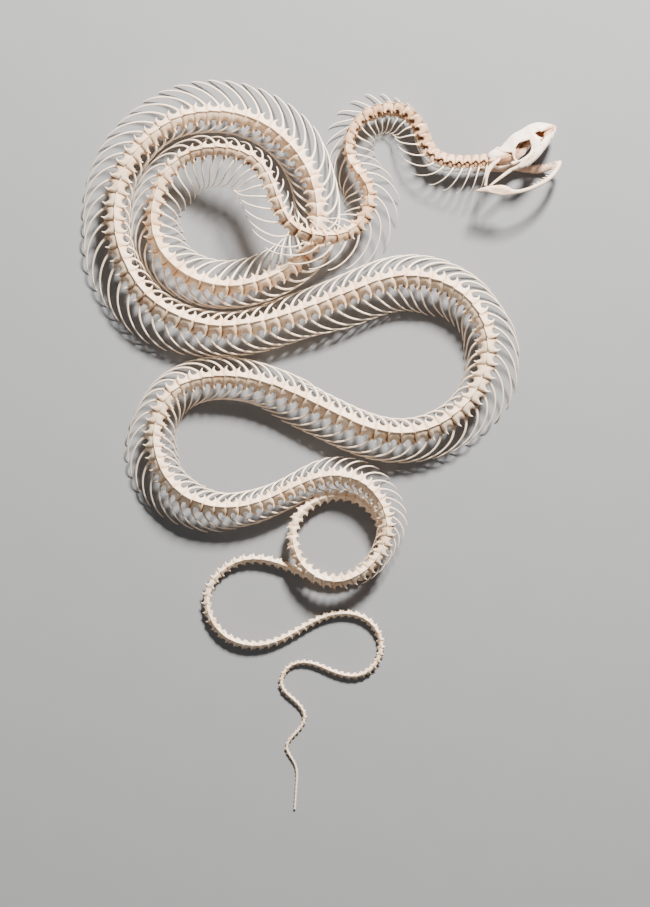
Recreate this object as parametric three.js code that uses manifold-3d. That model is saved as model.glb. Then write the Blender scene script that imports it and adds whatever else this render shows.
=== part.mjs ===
// Skeleton of a slender colubrid snake about two metres long, laid out on a flat surface in open
// loops: skull and neck on their left side, the trunk belly down. Millimetres, +Z up, floor at 0.
// The spine follows a smooth route; every vertebra is a diamond section with a wide front and a
// narrow waist, and each rib grows out of the side of its vertebra.
import * as THREE from 'three';
import Module from 'manifold-3d';

const wasm = await Module();
wasm.setup();

// ---- driving dimensions (mm, degrees) --------------------------------------------------------
// Route of the spine in plan from the back of the skull to the tip of the tail.
const ROUTE = [
  [101, 171.3], [88, 170], [74, 170.8], [64.8, 175.6], [60.6, 184], [54, 197], [40, 203], [23, 197],
  [17, 175], [27, 155], [24, 136], [5, 128], [-16, 133], [-26, 151], [-36, 170], [-60, 180],
  [-88, 173], [-104, 142], [-92, 111], [-65, 98], [-33, 103], [-8, 123], [-5, 153], [-20, 183],
  [-55, 202], [-93, 196], [-119, 167], [-123, 123], [-98, 86], [-61, 74], [-22, 81], [11, 93],
  [44, 104], [73, 100], [95, 80], [97, 46], [76, 18], [41, 10], [7, 22], [-26, 37], [-59, 44],
  [-89, 35], [-102, 7], [-91, -23], [-60, -36], [-26, -27], [2, -16], [27, -21], [40, -45],
  [31, -71], [6, -82], [-13, -71], [-17, -47], [3, -31], [25, -35], [36, -56], [25, -76], [6, -82],
  [-12, -77], [-35, -69], [-51, -70], [-70, -92], [-59, -115], [-35, -120], [-14, -111], [6, -102],
  [26, -105], [35, -122], [24, -138], [5, -136], [-9, -131], [-21, -134], [-25, -145], [-17, -154],
  [-11, -164], [-16, -173], [-22, -182], [-17, -192], [-16, -204], [-17, -219],
];
// Middle of the whole skeleton in plan, which becomes the origin.
const PLAN_CENTRE = [-0.3, 0.77];
// Each table below is [distance along the spine, value], eased from one row to the next.
const PITCH = [[0, 4.8], [60, 6.3], [160, 6.9], [280, 7.9], [820, 8.2], [1100, 7.5], [1300, 6.8],
  [1430, 5.9], [1550, 5.6], [1700, 5.4], [1800, 4.8], [1900, 4.1], [1960, 3.5], [2020, 2.6]];
const WIDTH = [[0, 7.5], [60, 9], [200, 11], [400, 13], [600, 14.4], [850, 15], [1000, 14.4],
  [1200, 13.2], [1350, 11.6], [1470, 10], [1510, 7.8], [1600, 6.7], [1750, 6], [1850, 4.8],
  [1950, 3.3], [2024, 1.6]];
const HEIGHT = [[0, 9], [60, 9], [120, 10], [168, 14], [202, 25.5], [230, 28], [262, 26], [315, 14],
  [340, 12.5], [460, 12], [900, 13], [1200, 12], [1350, 11], [1400, 12], [1470, 12], [1505, 10],
  [1550, 4.5], [1570, 3.2], [1690, 3], [1900, 1.7], [2024, 0.7]];
// Roll about the spine: positive lifts the flank on the left of the head-to-tail direction.
const ROLL = [[0, 85], [36, 80], [60, 60], [90, 46], [120, 22], [145, 2], [187, 14], [238, 20],
  [330, 18], [368, 0], [428, -12], [457, -12], [499, 0], [540, 10], [580, 16], [620, 10], [661, 0],
  [701, -6], [742, -14], [835, -16], [906, -14], [940, -8], [985, 0], [1014, 10], [1123, 12],
  [1173, 14], [1209, 6], [1242, 0], [1282, -8], [1330, -12], [1400, -2], [1440, 0], [2024, 0]];
// The vertebrae stand this far to the left of the route, which runs between the tips of the ribs.
const ASIDE = [[0, 0], [70, 0], [86, 1.4], [119, -1.2], [153, 0], [187, 3.6], [330, 3.2],
  [368, -0.5], [428, -3.2], [457, -3.2], [499, 0], [540, 2.6], [580, 4], [620, 3], [661, 0.4],
  [701, -1], [742, -3], [783, -3.6], [906, -4], [940, -3], [985, 0], [1014, 2], [1050, 3.2],
  [1123, 3], [1173, 3.4], [1209, 1.4], [1244, 0.3], [1282, -1.6], [1330, -2.6], [1390, -3.2],
  [1440, -1], [1490, 0]];
const REACH_LEFT = [[0, 14], [14, 19], [40, 16], [115, 15], [134, 12.6], [150, 18], [175, 23],
  [300, 25.5], [322, 24.5], [358, 16.8], [385, 13.5], [510, 13.5], [590, 14.5], [656, 8.8],
  [690, 6.4], [720, 5], [805, 5], [835, 8.4], [865, 8.6], [925, 10.5], [955, 12], [980, 19],
  [1000, 22.5], [1025, 20.4], [1120, 20.4], [1150, 16.6], [1190, 16.3], [1240, 13.2], [1270, 9.9],
  [1310, 6.6], [1342, 5], [1375, 8.6], [1400, 9.4], [1420, 10.5], [1440, 6], [1470, 5]];
const REACH_RIGHT = [[0, -6], [50, -5], [72, 6], [90, 10.5], [108, 14], [132, 15], [156, 15],
  [174, 9.6], [200, 5], [286, 4], [298, 6.6], [334, 10.5], [358, 13.5], [382, 15.5], [405, 15.5],
  [453, 14.5], [490, 13.8], [512, 13.8], [537, 16.6], [626, 17], [656, 19], [690, 19.5], [715, 24],
  [745, 25], [790, 20.6], [835, 19.5], [865, 23], [925, 24], [940, 19.8], [978, 14.4], [1002, 9.6],
  [1016, 7], [1060, 4.8], [1120, 4.8], [1134, 7.8], [1194, 9.9], [1212, 11.5], [1252, 18],
  [1270, 19], [1290, 17.4], [1312, 13.8], [1342, 12.6], [1372, 11.2], [1402, 8.4], [1430, 7],
  [1470, 5]];
// How far tailward the tips lie of their roots, and their height where the body rides up.
const SWEEP_LEFT = [[0, 9], [60, 14], [200, 20], [500, 25], [1100, 25], [1250, 20], [1400, 13],
  [1470, 8]];
const SWEEP_RIGHT = [[0, 9], [60, 14], [165, 18], [195, 9], [245, 10], [290, 22], [500, 25],
  [1100, 25], [1250, 20], [1400, 13], [1470, 8]];
const TIP_LEFT = [[0, 9], [60, 6], [90, 2], [120, 0], [172, 3], [190, 17], [204, 20.5],
  [248, 20.5], [268, 13], [295, 4], [315, 0], [1395, 0], [1415, 7.5], [1470, 7.5]];
const TIP_RIGHT = [[0, 2], [60, 1], [160, 0], [176, 10], [192, 20], [240, 20], [254, 11],
  [280, 3], [300, 0],
  [1395, 0], [1410, 7.5], [1440, 7.5], [1470, 4]];
const LAST_RIB = 1456;        // distance along the spine of the last pair of ribs
const RIB_RADIUS = 0.72;      // at the root; the tips end in points
// Ribs that reach at least this far, on this stretch, get a second ring for their arch.
const ARCHED = { reach: 15, from: 100, to: 1330 };
const JOINT_GAP = 0.3;        // between two lengths of the spine
const NECK_END = 150;
const SMALL_TAIL = 1500;      // past here the vertebrae are too small for a waist
// A length of spine ends before it bends more degrees than this, or is longer than this.
const LENGTH_TURN = { neck: 66, trunk: 54, tail: 62 };
const LENGTH_LIMIT = { neck: 60, trunk: 84, tail: 60 };
// Shape of a vertebra as shares of its width over the front joint processes. By the growth
// factors the crests of the neck stand taller, and its keels reach down in spikes.
const VERTEBRA = { crest: 0.5, notch: 0.41, wing: 0.06, keel: 0.3, waist: 0.62, waistAt: 0.3 };
const CREST_GROWTH = [[0, 1.2], [70, 1.15], [130, 1]];
const KEEL_GROWTH = [[0, 2], [80, 1.85], [140, 1]];

// The skull has its own frame: f forward, d dorsal and r to its right, which here faces up.
const SKULL = { at: [104.4, 172.8, 9.95], tilt: 27, width: 12.6 };
// Rows of a bone: [f, d, r, half height, half thickness].
const CRANIUM = [[-3.6, 0.6, 0, 3.2, 3.4], [-1, 0, 0, 4.7, 5.2], [4, -1.6, 0, 6.3, 6.3],
  [9, -0.4, 0, 7, 6], [13.5, 2.4, 0, 5.4, 4.6], [18, 3.6, 0, 4.8, 3.6], [22.5, 3.8, 0, 5, 3.8],
  [27, 2.7, 0, 6.3, 4.6], [31.5, 1.7, 0, 6.1, 4.2], [35.3, 0.6, 0, 4.3, 3], [39.8, -0.4, 0, 1.7, 1.4]];
const POSTORBITAL = [[13, 4.6, 3.8, 1, 1], [9.6, 0, 5.8, 0.8, 0.8], [8.6, -5, 6.4, 0.8, 0.8],
  [9.6, -8.6, 6.6, 0.9, 0.8]];
const MAXILLA = [[36, -3, 3.2, 1.1, 0.8], [31, -4.6, 5.4, 2.1, 0.9], [25.5, -7, 6.6, 2.7, 0.9],
  [20.5, -9.3, 7, 2.8, 1], [15, -10.9, 7.2, 2.5, 1], [10, -11.2, 7.1, 1.6, 0.8]];
const PALATE = [[30, -6.4, 1.6, 0.7, 0.7], [20, -10.4, 2.6, 0.9, 0.9], [9, -11, 4, 1, 1],
  [-3.4, -11.9, 6, 1, 0.7], [-12, -13.6, 7.6, 0.7, 0.6]];
const QUADRATE = [[-1.6, -3.4, 7.3, 1.3, 0.8], [-8.4, -4.8, 8.4, 1.8, 0.9],
  [-12.3, -8.1, 8.8, 1.1, 0.7], [-14.3, -11.8, 8.8, 1, 1]];
const MANDIBLE = [[-20.4, -12.6, 8, 0.5, 0.5], [-14.8, -14.7, 8.8, 1.9, 1.1],
  [-8.6, -18.1, 8.9, 3.3, 1], [-3.2, -21.9, 8.8, 2.6, 0.9], [4, -25.3, 8.3, 1.3, 0.9],
  [12.4, -26.5, 7.2, 1.4, 1], [21, -25.8, 5.4, 1.4, 1], [27.6, -23.6, 3.4, 1.4, 0.9],
  [32.4, -20.2, 1.3, 1.3, 0.6]];
// The left half of the jaw stands less open, its joint behind the neck.
const FAR_MANDIBLE = [[-14.5, 0.6, -8, 0.5, 0.5], [-9.5, -0.8, -8.8, 1.7, 1],
  [-4, -3.2, -8.9, 2.1, 0.9], [4, -7.4, -8.9, 2, 0.9], [11, -12.6, -8.9, 2.2, 0.9],
  [17.5, -16.9, -8.4, 2.7, 1], [23, -19.1, -6.6, 2, 1], [28.5, -20.3, -4, 1.5, 0.9],
  [32.6, -20.4, -1.3, 1.2, 0.6]];
const TEETH = { maxilla: 9, palate: 6, mandible: 10, length: 2.1, radius: 0.42, lean: 0.55 };

// ---- small tools -----------------------------------------------------------------------------
const radians = THREE.MathUtils.degToRad;
const ease = (t) => t * t * (3 - 2 * t);

function table(rows) {
  return (s) => {
    if (s <= rows[0][0]) return rows[0][1];
    for (let i = 1; i < rows.length; i += 1) {
      const [s0, v0] = rows[i - 1];
      const [s1, v1] = rows[i];
      if (s <= s1) return v0 + (v1 - v0) * ease((s - s0) / (s1 - s0));
    }
    return rows[rows.length - 1][1];
  };
}

// A smooth curve through the points, bending evenly: a natural cubic spline on their spacing.
function naturalSpline(points) {
  const n = points.length;
  const h = [];
  for (let i = 0; i + 1 < n; i += 1) {
    h.push(Math.hypot(points[i + 1][0] - points[i][0], points[i + 1][1] - points[i][1]));
  }
  const bend = [0, 1].map((axis) => {
    const slope = (i) => (points[i + 1][axis] - points[i][axis]) / h[i];
    const c = [0];
    const d = [0];
    for (let i = 1; i < n - 1; i += 1) {
      const pivot = 2 * (h[i - 1] + h[i]) - h[i - 1] * c[i - 1];
      c.push(h[i] / pivot);
      d.push((6 * (slope(i) - slope(i - 1)) - h[i - 1] * d[i - 1]) / pivot);
    }
    const m = new Array(n).fill(0);
    for (let i = n - 2; i > 0; i -= 1) m[i] = d[i] - c[i] * m[i + 1];
    return m;
  });
  return (i, u) => {
    const a = 1 - u;
    return [0, 1].map((axis) => a * points[i][axis] + u * points[i + 1][axis]
      + (h[i] * h[i] / 6) * ((a ** 3 - a) * bend[axis][i] + (u ** 3 - u) * bend[axis][i + 1]));
  };
}

// The route measured out by distance along it: plan(s) gives the point and the heading.
function measuredRoute(points, steps = 60) {
  const spline = naturalSpline(points);
  const dots = [];
  for (let i = 0; i + 1 < points.length; i += 1) {
    for (let k = 0; k < steps; k += 1) dots.push(spline(i, k / steps));
  }
  dots.push(points[points.length - 1]);
  const gone = [0];
  for (let i = 1; i < dots.length; i += 1) {
    gone.push(gone[i - 1] + Math.hypot(dots[i][0] - dots[i - 1][0], dots[i][1] - dots[i - 1][1]));
  }
  const plan = (s) => {
    let low = 0;
    let high = dots.length - 1;
    while (high - low > 1) {
      const mid = (low + high) >> 1;
      if (gone[mid] <= s) low = mid;
      else high = mid;
    }
    const u = (s - gone[low]) / (gone[high] - gone[low]);
    return [0, 1].map((axis) => dots[low][axis] + u * (dots[high][axis] - dots[low][axis]));
  };
  return { plan, length: gone[gone.length - 1] };
}

// ---- spine and ribs --------------------------------------------------------------------------
const route = measuredRoute(ROUTE);
const pitch = table(PITCH);
const width = table(WIDTH);
const height = table(HEIGHT);
const roll = table(ROLL);
const aside = table(ASIDE);
const crestGrowth = table(CREST_GROWTH);
const keelGrowth = table(KEEL_GROWTH);
const flanks = [
  { side: 1, reach: table(REACH_LEFT), sweep: table(SWEEP_LEFT), tip: table(TIP_LEFT) },
  { side: -1, reach: table(REACH_RIGHT), sweep: table(SWEEP_RIGHT), tip: table(TIP_RIGHT) },
];
const UP = new THREE.Vector3(0, 0, 1);

// The spine at distance s: its place, the route's place, and its axes, turned by the roll.
function frameAt(s) {
  const step = 0.6;
  const point = (q) => {
    const [x, y] = route.plan(THREE.MathUtils.clamp(q, 0, route.length));
    return new THREE.Vector3(x, y, height(q));
  };
  const tailward = point(s + step).sub(point(s - step)).normalize();
  const left = UP.clone().cross(tailward).normalize();
  const dorsal = tailward.clone().cross(left);
  const angle = radians(roll(s));
  return {
    at: point(s).addScaledVector(left, aside(s)),
    onRoute: point(s),
    tailward,
    left,
    across: left.clone().multiplyScalar(Math.cos(angle)).addScaledVector(dorsal, Math.sin(angle)),
    back: dorsal.clone().multiplyScalar(Math.cos(angle)).addScaledVector(left, -Math.sin(angle)),
  };
}

function vertebraeOf(length) {
  const list = [];
  for (let s = 1.2; s + pitch(s) < length; s += pitch(s)) list.push({ s, pitch: pitch(s) });
  return list;
}

// The four corners of a section: crest, left wing, keel, right wing.
function section(s, half, crest, keel = VERTEBRA.keel) {
  const { at, across, back } = frameAt(s);
  const w = width(s);
  const corner = (u, d) => at.clone().addScaledVector(across, u).addScaledVector(back, d);
  return [
    corner(0, crest * crestGrowth(s) * w), corner(half * w, VERTEBRA.wing * w),
    corner(0, -keel * w), corner(-half * w, VERTEBRA.wing * w),
  ];
}

function ribCurve(s, flank) {
  const { at, tailward, across, back } = frameAt(s);
  const w = width(s);
  const end = s + flank.sweep(s);
  const tip = frameAt(end);
  const side = flank.side;
  const root = at.clone().addScaledVector(across, side * 0.3 * w).addScaledVector(back, -0.08 * w);
  const last = tip.onRoute.addScaledVector(tip.left, side * flank.reach(end));
  last.z = flank.tip(end);
  const span = root.distanceTo(last);
  const out = root.clone().addScaledVector(across, side * 0.34 * span)
    .addScaledVector(tailward, 0.18 * span).addScaledVector(back, -0.1 * span);
  const turn = last.clone().addScaledVector(tip.tailward, -0.34 * flank.sweep(s))
    .addScaledVector(UP, 0.42 * Math.max(root.z - last.z, 0));
  for (const p of [out, turn]) p.z = Math.max(p.z, 0.8);
  return new THREE.CubicBezierCurve3(root, out, turn, last);
}

// One length of the spine, vertebrae first to last, as one closed mesh with its ribs.
class LengthBuilder {
  constructor() {
    this.points = [];
    this.faces = [];
  }

  add(vectors) {
    const first = this.points.length;
    vectors.forEach((v) => this.points.push(new THREE.Vector3(v.x, v.y, Math.max(v.z, 0))));
    return vectors.map((_, k) => first + k);
  }

  band(a, b, skip = []) {
    const n = a.length;
    for (let k = 0; k < n; k += 1) {
      const m = (k + 1) % n;
      if (!skip.includes(k)) this.faces.push([a[k], b[m], a[m]], [a[k], b[k], b[m]]);
    }
  }

  // The rib stands on one triangle of the side, narrows over its first ring and ends in a point.
  rib(base, curve, stops) {
    const corners = base.map((k) => this.points[k]);
    const middle = corners[0].clone().add(corners[1]).add(corners[2]).divideScalar(3);
    const normal = corners[1].clone().sub(corners[0]).cross(corners[2].clone().sub(corners[0]));
    const sense = normal.dot(curve.getTangent(stops[0][0])) < 0 ? -1 : 1;
    let previous = base;
    stops.forEach(([t, radius]) => {
      const at = curve.getPoint(t);
      const along = curve.getTangent(t);
      const first = corners[0].clone().sub(middle);
      first.addScaledVector(along, -first.dot(along)).normalize();
      const second = along.clone().cross(first).multiplyScalar(sense);
      previous = this.ringBand(previous, [0, 1, 2].map((k) => at.clone()
        .addScaledVector(first, radius * Math.cos(k * 2 * Math.PI / 3))
        .addScaledVector(second, radius * Math.sin(k * 2 * Math.PI / 3))));
    });
    const [tip] = this.add([curve.getPoint(1)]);
    for (let k = 0; k < 3; k += 1) this.faces.push([previous[k], tip, previous[(k + 1) % 3]]);
  }

  ringBand(previous, vectors) {
    const next = this.add(vectors);
    this.band(previous, next);
    return next;
  }

  cap(ring, flip) {
    const [a, b, c, d] = ring;
    this.faces.push(...(flip ? [[a, b, c], [a, c, d]] : [[a, c, b], [a, d, c]]));
  }

  geometry() {
    const flat = this.points.flatMap((p) => [p.x, p.y, p.z]);
    const geometry = new THREE.BufferGeometry();
    geometry.setAttribute('position', new THREE.Float32BufferAttribute(flat, 3));
    geometry.setIndex(this.faces.flat());
    return geometry;
  }
}

// Rings of a rib, [share of its length, radius]. Where the ribs lie crowded, at the crossing of
// two lengths and before the tail, their one ring is small and close to the root.
function ribStops(reach, s) {
  if (Math.abs(reach) >= ARCHED.reach && s > ARCHED.from && s < ARCHED.to) {
    return [[0.2, RIB_RADIUS], [0.58, 0.86 * RIB_RADIUS]];
  }
  const crowded = s > 1300 || (s > 190 && s < 250);
  if (crowded) return [[0.19, 0.8 * RIB_RADIUS]];
  return [[0.36, s < 40 ? 0.8 * RIB_RADIUS : RIB_RADIUS]];
}

function spineLength(bones, coarse) {
  const builder = new LengthBuilder();
  let open = null;
  bones.forEach(({ s, pitch: gap }, index) => {
    const front = builder.add(section(s, 0.5, coarse ? VERTEBRA.crest : VERTEBRA.notch));
    if (open) builder.band(open, front);
    else builder.cap(front, true);
    open = front;
    const endsHere = index === bones.length - 1;
    if (!coarse) {
      const at = s + VERTEBRA.waistAt * gap;
      const keel = VERTEBRA.keel * keelGrowth(s);
      const waist = builder.add(section(at, 0.5 * VERTEBRA.waist, VERTEBRA.crest, keel));
      const ribbed = s < LAST_RIB;
      builder.band(front, waist, ribbed ? [1, 2] : []);
      if (ribbed) {
        const [leftFlank, rightFlank] = flanks;
        builder.faces.push([front[2], waist[1], waist[2]], [front[2], waist[2], waist[3]]);
        const stops = (flank) => ribStops(flank.reach(s + flank.sweep(s)), s);
        builder.rib([front[1], front[2], waist[1]], ribCurve(s, leftFlank), stops(leftFlank));
        builder.rib([front[3], waist[3], front[2]], ribCurve(s, rightFlank), stops(rightFlank));
      }
      open = waist;
    }
    if (endsHere) {
      const rear = builder.add(section(s + gap - JOINT_GAP, 0.5, VERTEBRA.notch));
      builder.band(open, rear);
      builder.cap(rear, false);
    }
  });
  return builder.geometry();
}

function heading(s) {
  const { tailward } = frameAt(s);
  return Math.atan2(tailward.y, tailward.x);
}

// Cuts the row of vertebrae into lengths at their names' borders and where the bend adds up.
function divide(bones) {
  const lengths = [];
  let name = '';
  let turned = 0;
  let start = 0;
  let before = null;
  for (const bone of bones) {
    const part = bone.s < NECK_END ? 'neck' : bone.s < LAST_RIB ? 'trunk' : 'tail';
    const now = heading(bone.s);
    if (before !== null) {
      turned += Math.abs(Math.atan2(Math.sin(now - before), Math.cos(now - before)));
    }
    before = now;
    const full = turned > radians(LENGTH_TURN[part]) || bone.s - start > LENGTH_LIMIT[part];
    if (part !== name || full) {
      lengths.push({ part, bones: [] });
      name = part;
      turned = 0;
      start = bone.s;
    }
    lengths[lengths.length - 1].bones.push(bone);
  }
  return lengths;
}

// ---- skull -----------------------------------------------------------------------------------
// A bone drawn as rows of half height and half thickness, closed at both ends.
function boneGeometry(rows, sides) {
  const centres = rows.map(([f, d, r]) => new THREE.Vector3(f, d, r));
  const points = [];
  rows.forEach(([, , , tall, thick], i) => {
    const before = centres[Math.max(i - 1, 0)];
    const after = centres[Math.min(i + 1, rows.length - 1)];
    const along = after.clone().sub(before).normalize();
    const out = new THREE.Vector3(0, 0, 1).addScaledVector(along, -along.z).normalize();
    const high = out.clone().cross(along).normalize();
    for (let k = 0; k < sides; k += 1) {
      const angle = (2 * Math.PI * (k + 0.5)) / sides;
      points.push(centres[i].clone().addScaledVector(high, tall * Math.cos(angle))
        .addScaledVector(out, thick * Math.sin(angle)));
    }
  });
  const faces = [];
  for (let i = 0; i + 1 < rows.length; i += 1) {
    for (let k = 0; k < sides; k += 1) {
      const a = i * sides + k;
      const b = i * sides + ((k + 1) % sides);
      faces.push([a, b, b + sides], [a, b + sides, a + sides]);
    }
  }
  const top = (rows.length - 1) * sides;
  for (let k = 1; k + 1 < sides; k += 1) faces.push([0, k + 1, k], [top, top + k, top + k + 1]);
  return { points, faces };
}

function outward({ points, faces }) {
  let volume = 0;
  faces.forEach(([a, b, c]) => {
    volume += points[a].dot(points[b].clone().cross(points[c]));
  });
  return { points, faces: volume < 0 ? faces.map(([a, b, c]) => [a, c, b]) : faces };
}

function toSolid(shape) {
  const { points, faces } = outward(shape);
  return new wasm.Manifold(new wasm.Mesh({
    numProp: 3,
    vertProperties: Float32Array.from(points.flatMap((p) => [p.x, p.y, p.z])),
    triVerts: Uint32Array.from(faces.flat()),
  }));
}

// Point on the middle line of a bone, share 0 to 1 of its rows, with the row's half height.
function rowPoint(rows, share) {
  const x = share * (rows.length - 1);
  const i = Math.min(Math.floor(x), rows.length - 2);
  return rows[i].map((v, k) => v + (x - i) * (rows[i + 1][k] - v));
}

// Teeth: three-sided spikes that stand on the bone and lean back, towards smaller f.
function teeth(rows, count, from, to, direction) {
  const shapes = [];
  for (let i = 0; i < count; i += 1) {
    const share = from + ((to - from) * i) / (count - 1);
    const [f, d, r, tall] = rowPoint(rows, share);
    const foot = new THREE.Vector3(f, d + direction * (tall - 0.5), r);
    const tip = foot.clone();
    tip.x -= TEETH.lean * TEETH.length;
    tip.y += direction * (TEETH.length + 0.3);
    const points = [0, 1, 2].map((k) => new THREE.Vector3(
      foot.x + TEETH.radius * 1.3 * Math.cos((k * 2 * Math.PI) / 3), foot.y,
      foot.z + TEETH.radius * Math.sin((k * 2 * Math.PI) / 3),
    ));
    points.push(tip);
    shapes.push({ points, faces: [[0, 1, 2], [0, 3, 1], [1, 3, 2], [2, 3, 0]] });
  }
  return shapes;
}

function joined(shapes) {
  let solid = toSolid(shapes[0]);
  for (const shape of shapes.slice(1)) solid = solid.add(toSolid(shape));
  return solid;
}

function solidGeometry(solid) {
  const mesh = solid.getMesh();
  const points = [];
  for (let i = 0; i < mesh.vertProperties.length; i += mesh.numProp) {
    points.push(...mesh.vertProperties.slice(i, i + 3));
  }
  const geometry = new THREE.BufferGeometry();
  geometry.setAttribute('position', new THREE.Float32BufferAttribute(points, 3));
  geometry.setIndex(Array.from(mesh.triVerts));
  return geometry;
}

const mirrored = (rows) => rows.map(([f, d, r, a, b]) => [f, d, -r, a, b]);

function skullSolids() {
  const jaw = (rows) => joined([boneGeometry(rows, 6), ...teeth(rows, TEETH.mandible, 0.52, 0.97, 1)]);
  const upper = (rows) => joined([boneGeometry(rows, 6), ...teeth(rows, TEETH.maxilla, 0.05, 0.85, -1)]);
  const palate = (rows) => joined([boneGeometry(rows, 4), ...teeth(rows, TEETH.palate, 0.04, 0.5, -1)]);
  const farQuadrate = mirrored(QUADRATE);
  farQuadrate[0][2] = -6.3;
  farQuadrate[1] = [-5.4, 0.8, -7.1, 1.2, 0.8];
  farQuadrate[2] = [-8.2, 3.6, -8, 0.9, 0.7];
  farQuadrate[3] = [-10, 2.6, -8.6, 0.8, 0.9];
  const farMaxilla = MAXILLA.map(([f, d, r, a, b]) => [f, d, -0.78 * r, a, b]);
  const farPalate = mirrored(PALATE);
  farPalate[3] = [-0.6, -8.6, -5.6, 1, 0.7];
  farPalate[4] = [-8, -4.2, -7, 0.8, 0.6];
  return {
    cranium: joined([boneGeometry(CRANIUM, 8), boneGeometry(POSTORBITAL, 4),
      boneGeometry(mirrored(POSTORBITAL), 4)]),
    maxilla_right: upper(MAXILLA),
    maxilla_left: upper(farMaxilla),
    palate_right: palate(PALATE),
    palate_left: palate(farPalate),
    quadrate_right: joined([boneGeometry(QUADRATE, 6)]),
    quadrate_left: joined([boneGeometry(farQuadrate, 6)]),
    mandible_right: jaw(MANDIBLE),
    mandible_left: jaw(FAR_MANDIBLE),
  };
}

// ---- the whole skeleton ----------------------------------------------------------------------
const boneMaterial = (color, roughness) => new THREE.MeshStandardMaterial({
  color, roughness, metalness: 0,
});

const skeleton = new THREE.Group();

const spine = new THREE.Group();
const counts = {};
for (const { part, bones } of divide(vertebraeOf(route.length))) {
  counts[part] = (counts[part] || 0) + 1;
  const mesh = new THREE.Mesh(spineLength(bones, bones[0].s > SMALL_TAIL), boneMaterial(0xe3d6c4, 0.62));
  mesh.name = `${part}_${String(counts[part]).padStart(2, '0')}`;
  spine.add(mesh);
}
skeleton.add(spine);

const skull = new THREE.Group();
for (const [name, solid] of Object.entries(skullSolids())) {
  const mesh = new THREE.Mesh(solidGeometry(solid), boneMaterial(0xece4d8, 0.55));
  mesh.name = name;
  skull.add(mesh);
}
skull.position.set(...SKULL.at);
skull.rotation.z = radians(SKULL.tilt);
skeleton.add(skull);
skeleton.position.set(-PLAN_CENTRE[0], -PLAN_CENTRE[1], 0);

export default skeleton;
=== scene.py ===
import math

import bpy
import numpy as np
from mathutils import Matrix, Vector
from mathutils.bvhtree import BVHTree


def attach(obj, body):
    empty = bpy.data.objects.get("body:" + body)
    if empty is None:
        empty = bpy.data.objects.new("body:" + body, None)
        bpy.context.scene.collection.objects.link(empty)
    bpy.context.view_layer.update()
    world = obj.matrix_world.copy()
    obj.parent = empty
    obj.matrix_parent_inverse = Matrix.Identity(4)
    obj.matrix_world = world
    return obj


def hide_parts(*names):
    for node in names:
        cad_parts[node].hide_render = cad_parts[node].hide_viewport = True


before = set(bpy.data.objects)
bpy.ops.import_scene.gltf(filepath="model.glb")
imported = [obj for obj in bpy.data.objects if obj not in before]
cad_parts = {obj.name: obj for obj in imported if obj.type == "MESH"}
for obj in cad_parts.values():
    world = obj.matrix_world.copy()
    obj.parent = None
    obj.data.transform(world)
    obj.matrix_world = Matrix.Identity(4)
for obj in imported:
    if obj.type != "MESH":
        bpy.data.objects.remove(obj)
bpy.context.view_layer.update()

# %% [markdown]
# # The skeleton of a two metre snake, string of bones by string of bones
#
# A snake has more than three hundred vertebrae and almost two hundred pairs of ribs, so nobody
# places them by hand. This lesson lays one smooth route on the floor, shapes a few vertebrae with
# care, and lets loops thread them along the route. Each pair of ribs is a curve whose four control
# points come from tables. Only the skull is shaped bone by bone.

MM = 0.001
chance = np.random.default_rng(7)

# %% [markdown]
# ## The route of the spine
#
# On the real thing the backbone was bent by hand and lies in open loops. Some eighty points, about
# two vertebrae apart in tight bends and five in slack ones, fix those loops. They could be
# joined by a Bezier curve object, but then every bone would have to ask Blender where it is.
# A natural cubic spline is only a small set of equations, bends as evenly as a thin rod does, and
# gives a plain function of distance along the back.

# %% Route in plan, millimetres
ROUTE = [
    (101, 171.3), (88, 170), (74, 170.8), (64.8, 175.6), (60.6, 184), (54, 197), (40, 203), (23, 197),
    (17, 175), (27, 155), (24, 136), (5, 128), (-16, 133), (-26, 151), (-36, 170), (-60, 180),
    (-88, 173), (-104, 142), (-92, 111), (-65, 98), (-33, 103), (-8, 123), (-5, 153), (-20, 183),
    (-55, 202), (-93, 196), (-119, 167), (-123, 123), (-98, 86), (-61, 74), (-22, 81), (11, 93),
    (44, 104), (73, 100), (95, 80), (97, 46), (76, 18), (41, 10), (7, 22), (-26, 37), (-59, 44),
    (-89, 35), (-102, 7), (-91, -23), (-60, -36), (-26, -27), (2, -16), (27, -21), (40, -45),
    (31, -71), (6, -82), (-13, -71), (-17, -47), (3, -31), (25, -35), (36, -56), (25, -76), (6, -82),
    (-12, -77), (-35, -69), (-51, -70), (-70, -92), (-59, -115), (-35, -120), (-14, -111), (6, -102),
    (26, -105), (35, -122), (24, -138), (5, -136), (-9, -131), (-21, -134), (-25, -145), (-17, -154),
    (-11, -164), (-16, -173), (-22, -182), (-17, -192), (-16, -204), (-17, -219),
]
PLAN_CENTRE = (-0.3, 0.77)


def natural_spline(points, steps=60):
    """Dots along the natural cubic spline through the points."""
    n = len(points)
    gap = np.hypot(*np.diff(points, axis=0).T)
    matrix = np.eye(n)
    target = np.zeros((n, 2))
    for i in range(1, n - 1):
        matrix[i, i - 1:i + 2] = gap[i - 1], 2 * (gap[i - 1] + gap[i]), gap[i]
        after = (points[i + 1] - points[i]) / gap[i]
        before = (points[i] - points[i - 1]) / gap[i - 1]
        target[i] = 6 * (after - before)
    bend = np.linalg.solve(matrix, target)
    u = (np.arange(steps) / steps)[None, :, None]
    a = 1 - u
    square = (gap ** 2 / 6)[:, None, None]
    dots = a * points[:-1, None] + u * points[1:, None]
    dots = dots + square * ((a ** 3 - a) * bend[:-1, None] + (u ** 3 - u) * bend[1:, None])
    return np.vstack([dots.reshape(-1, 2), points[-1:]])


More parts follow.
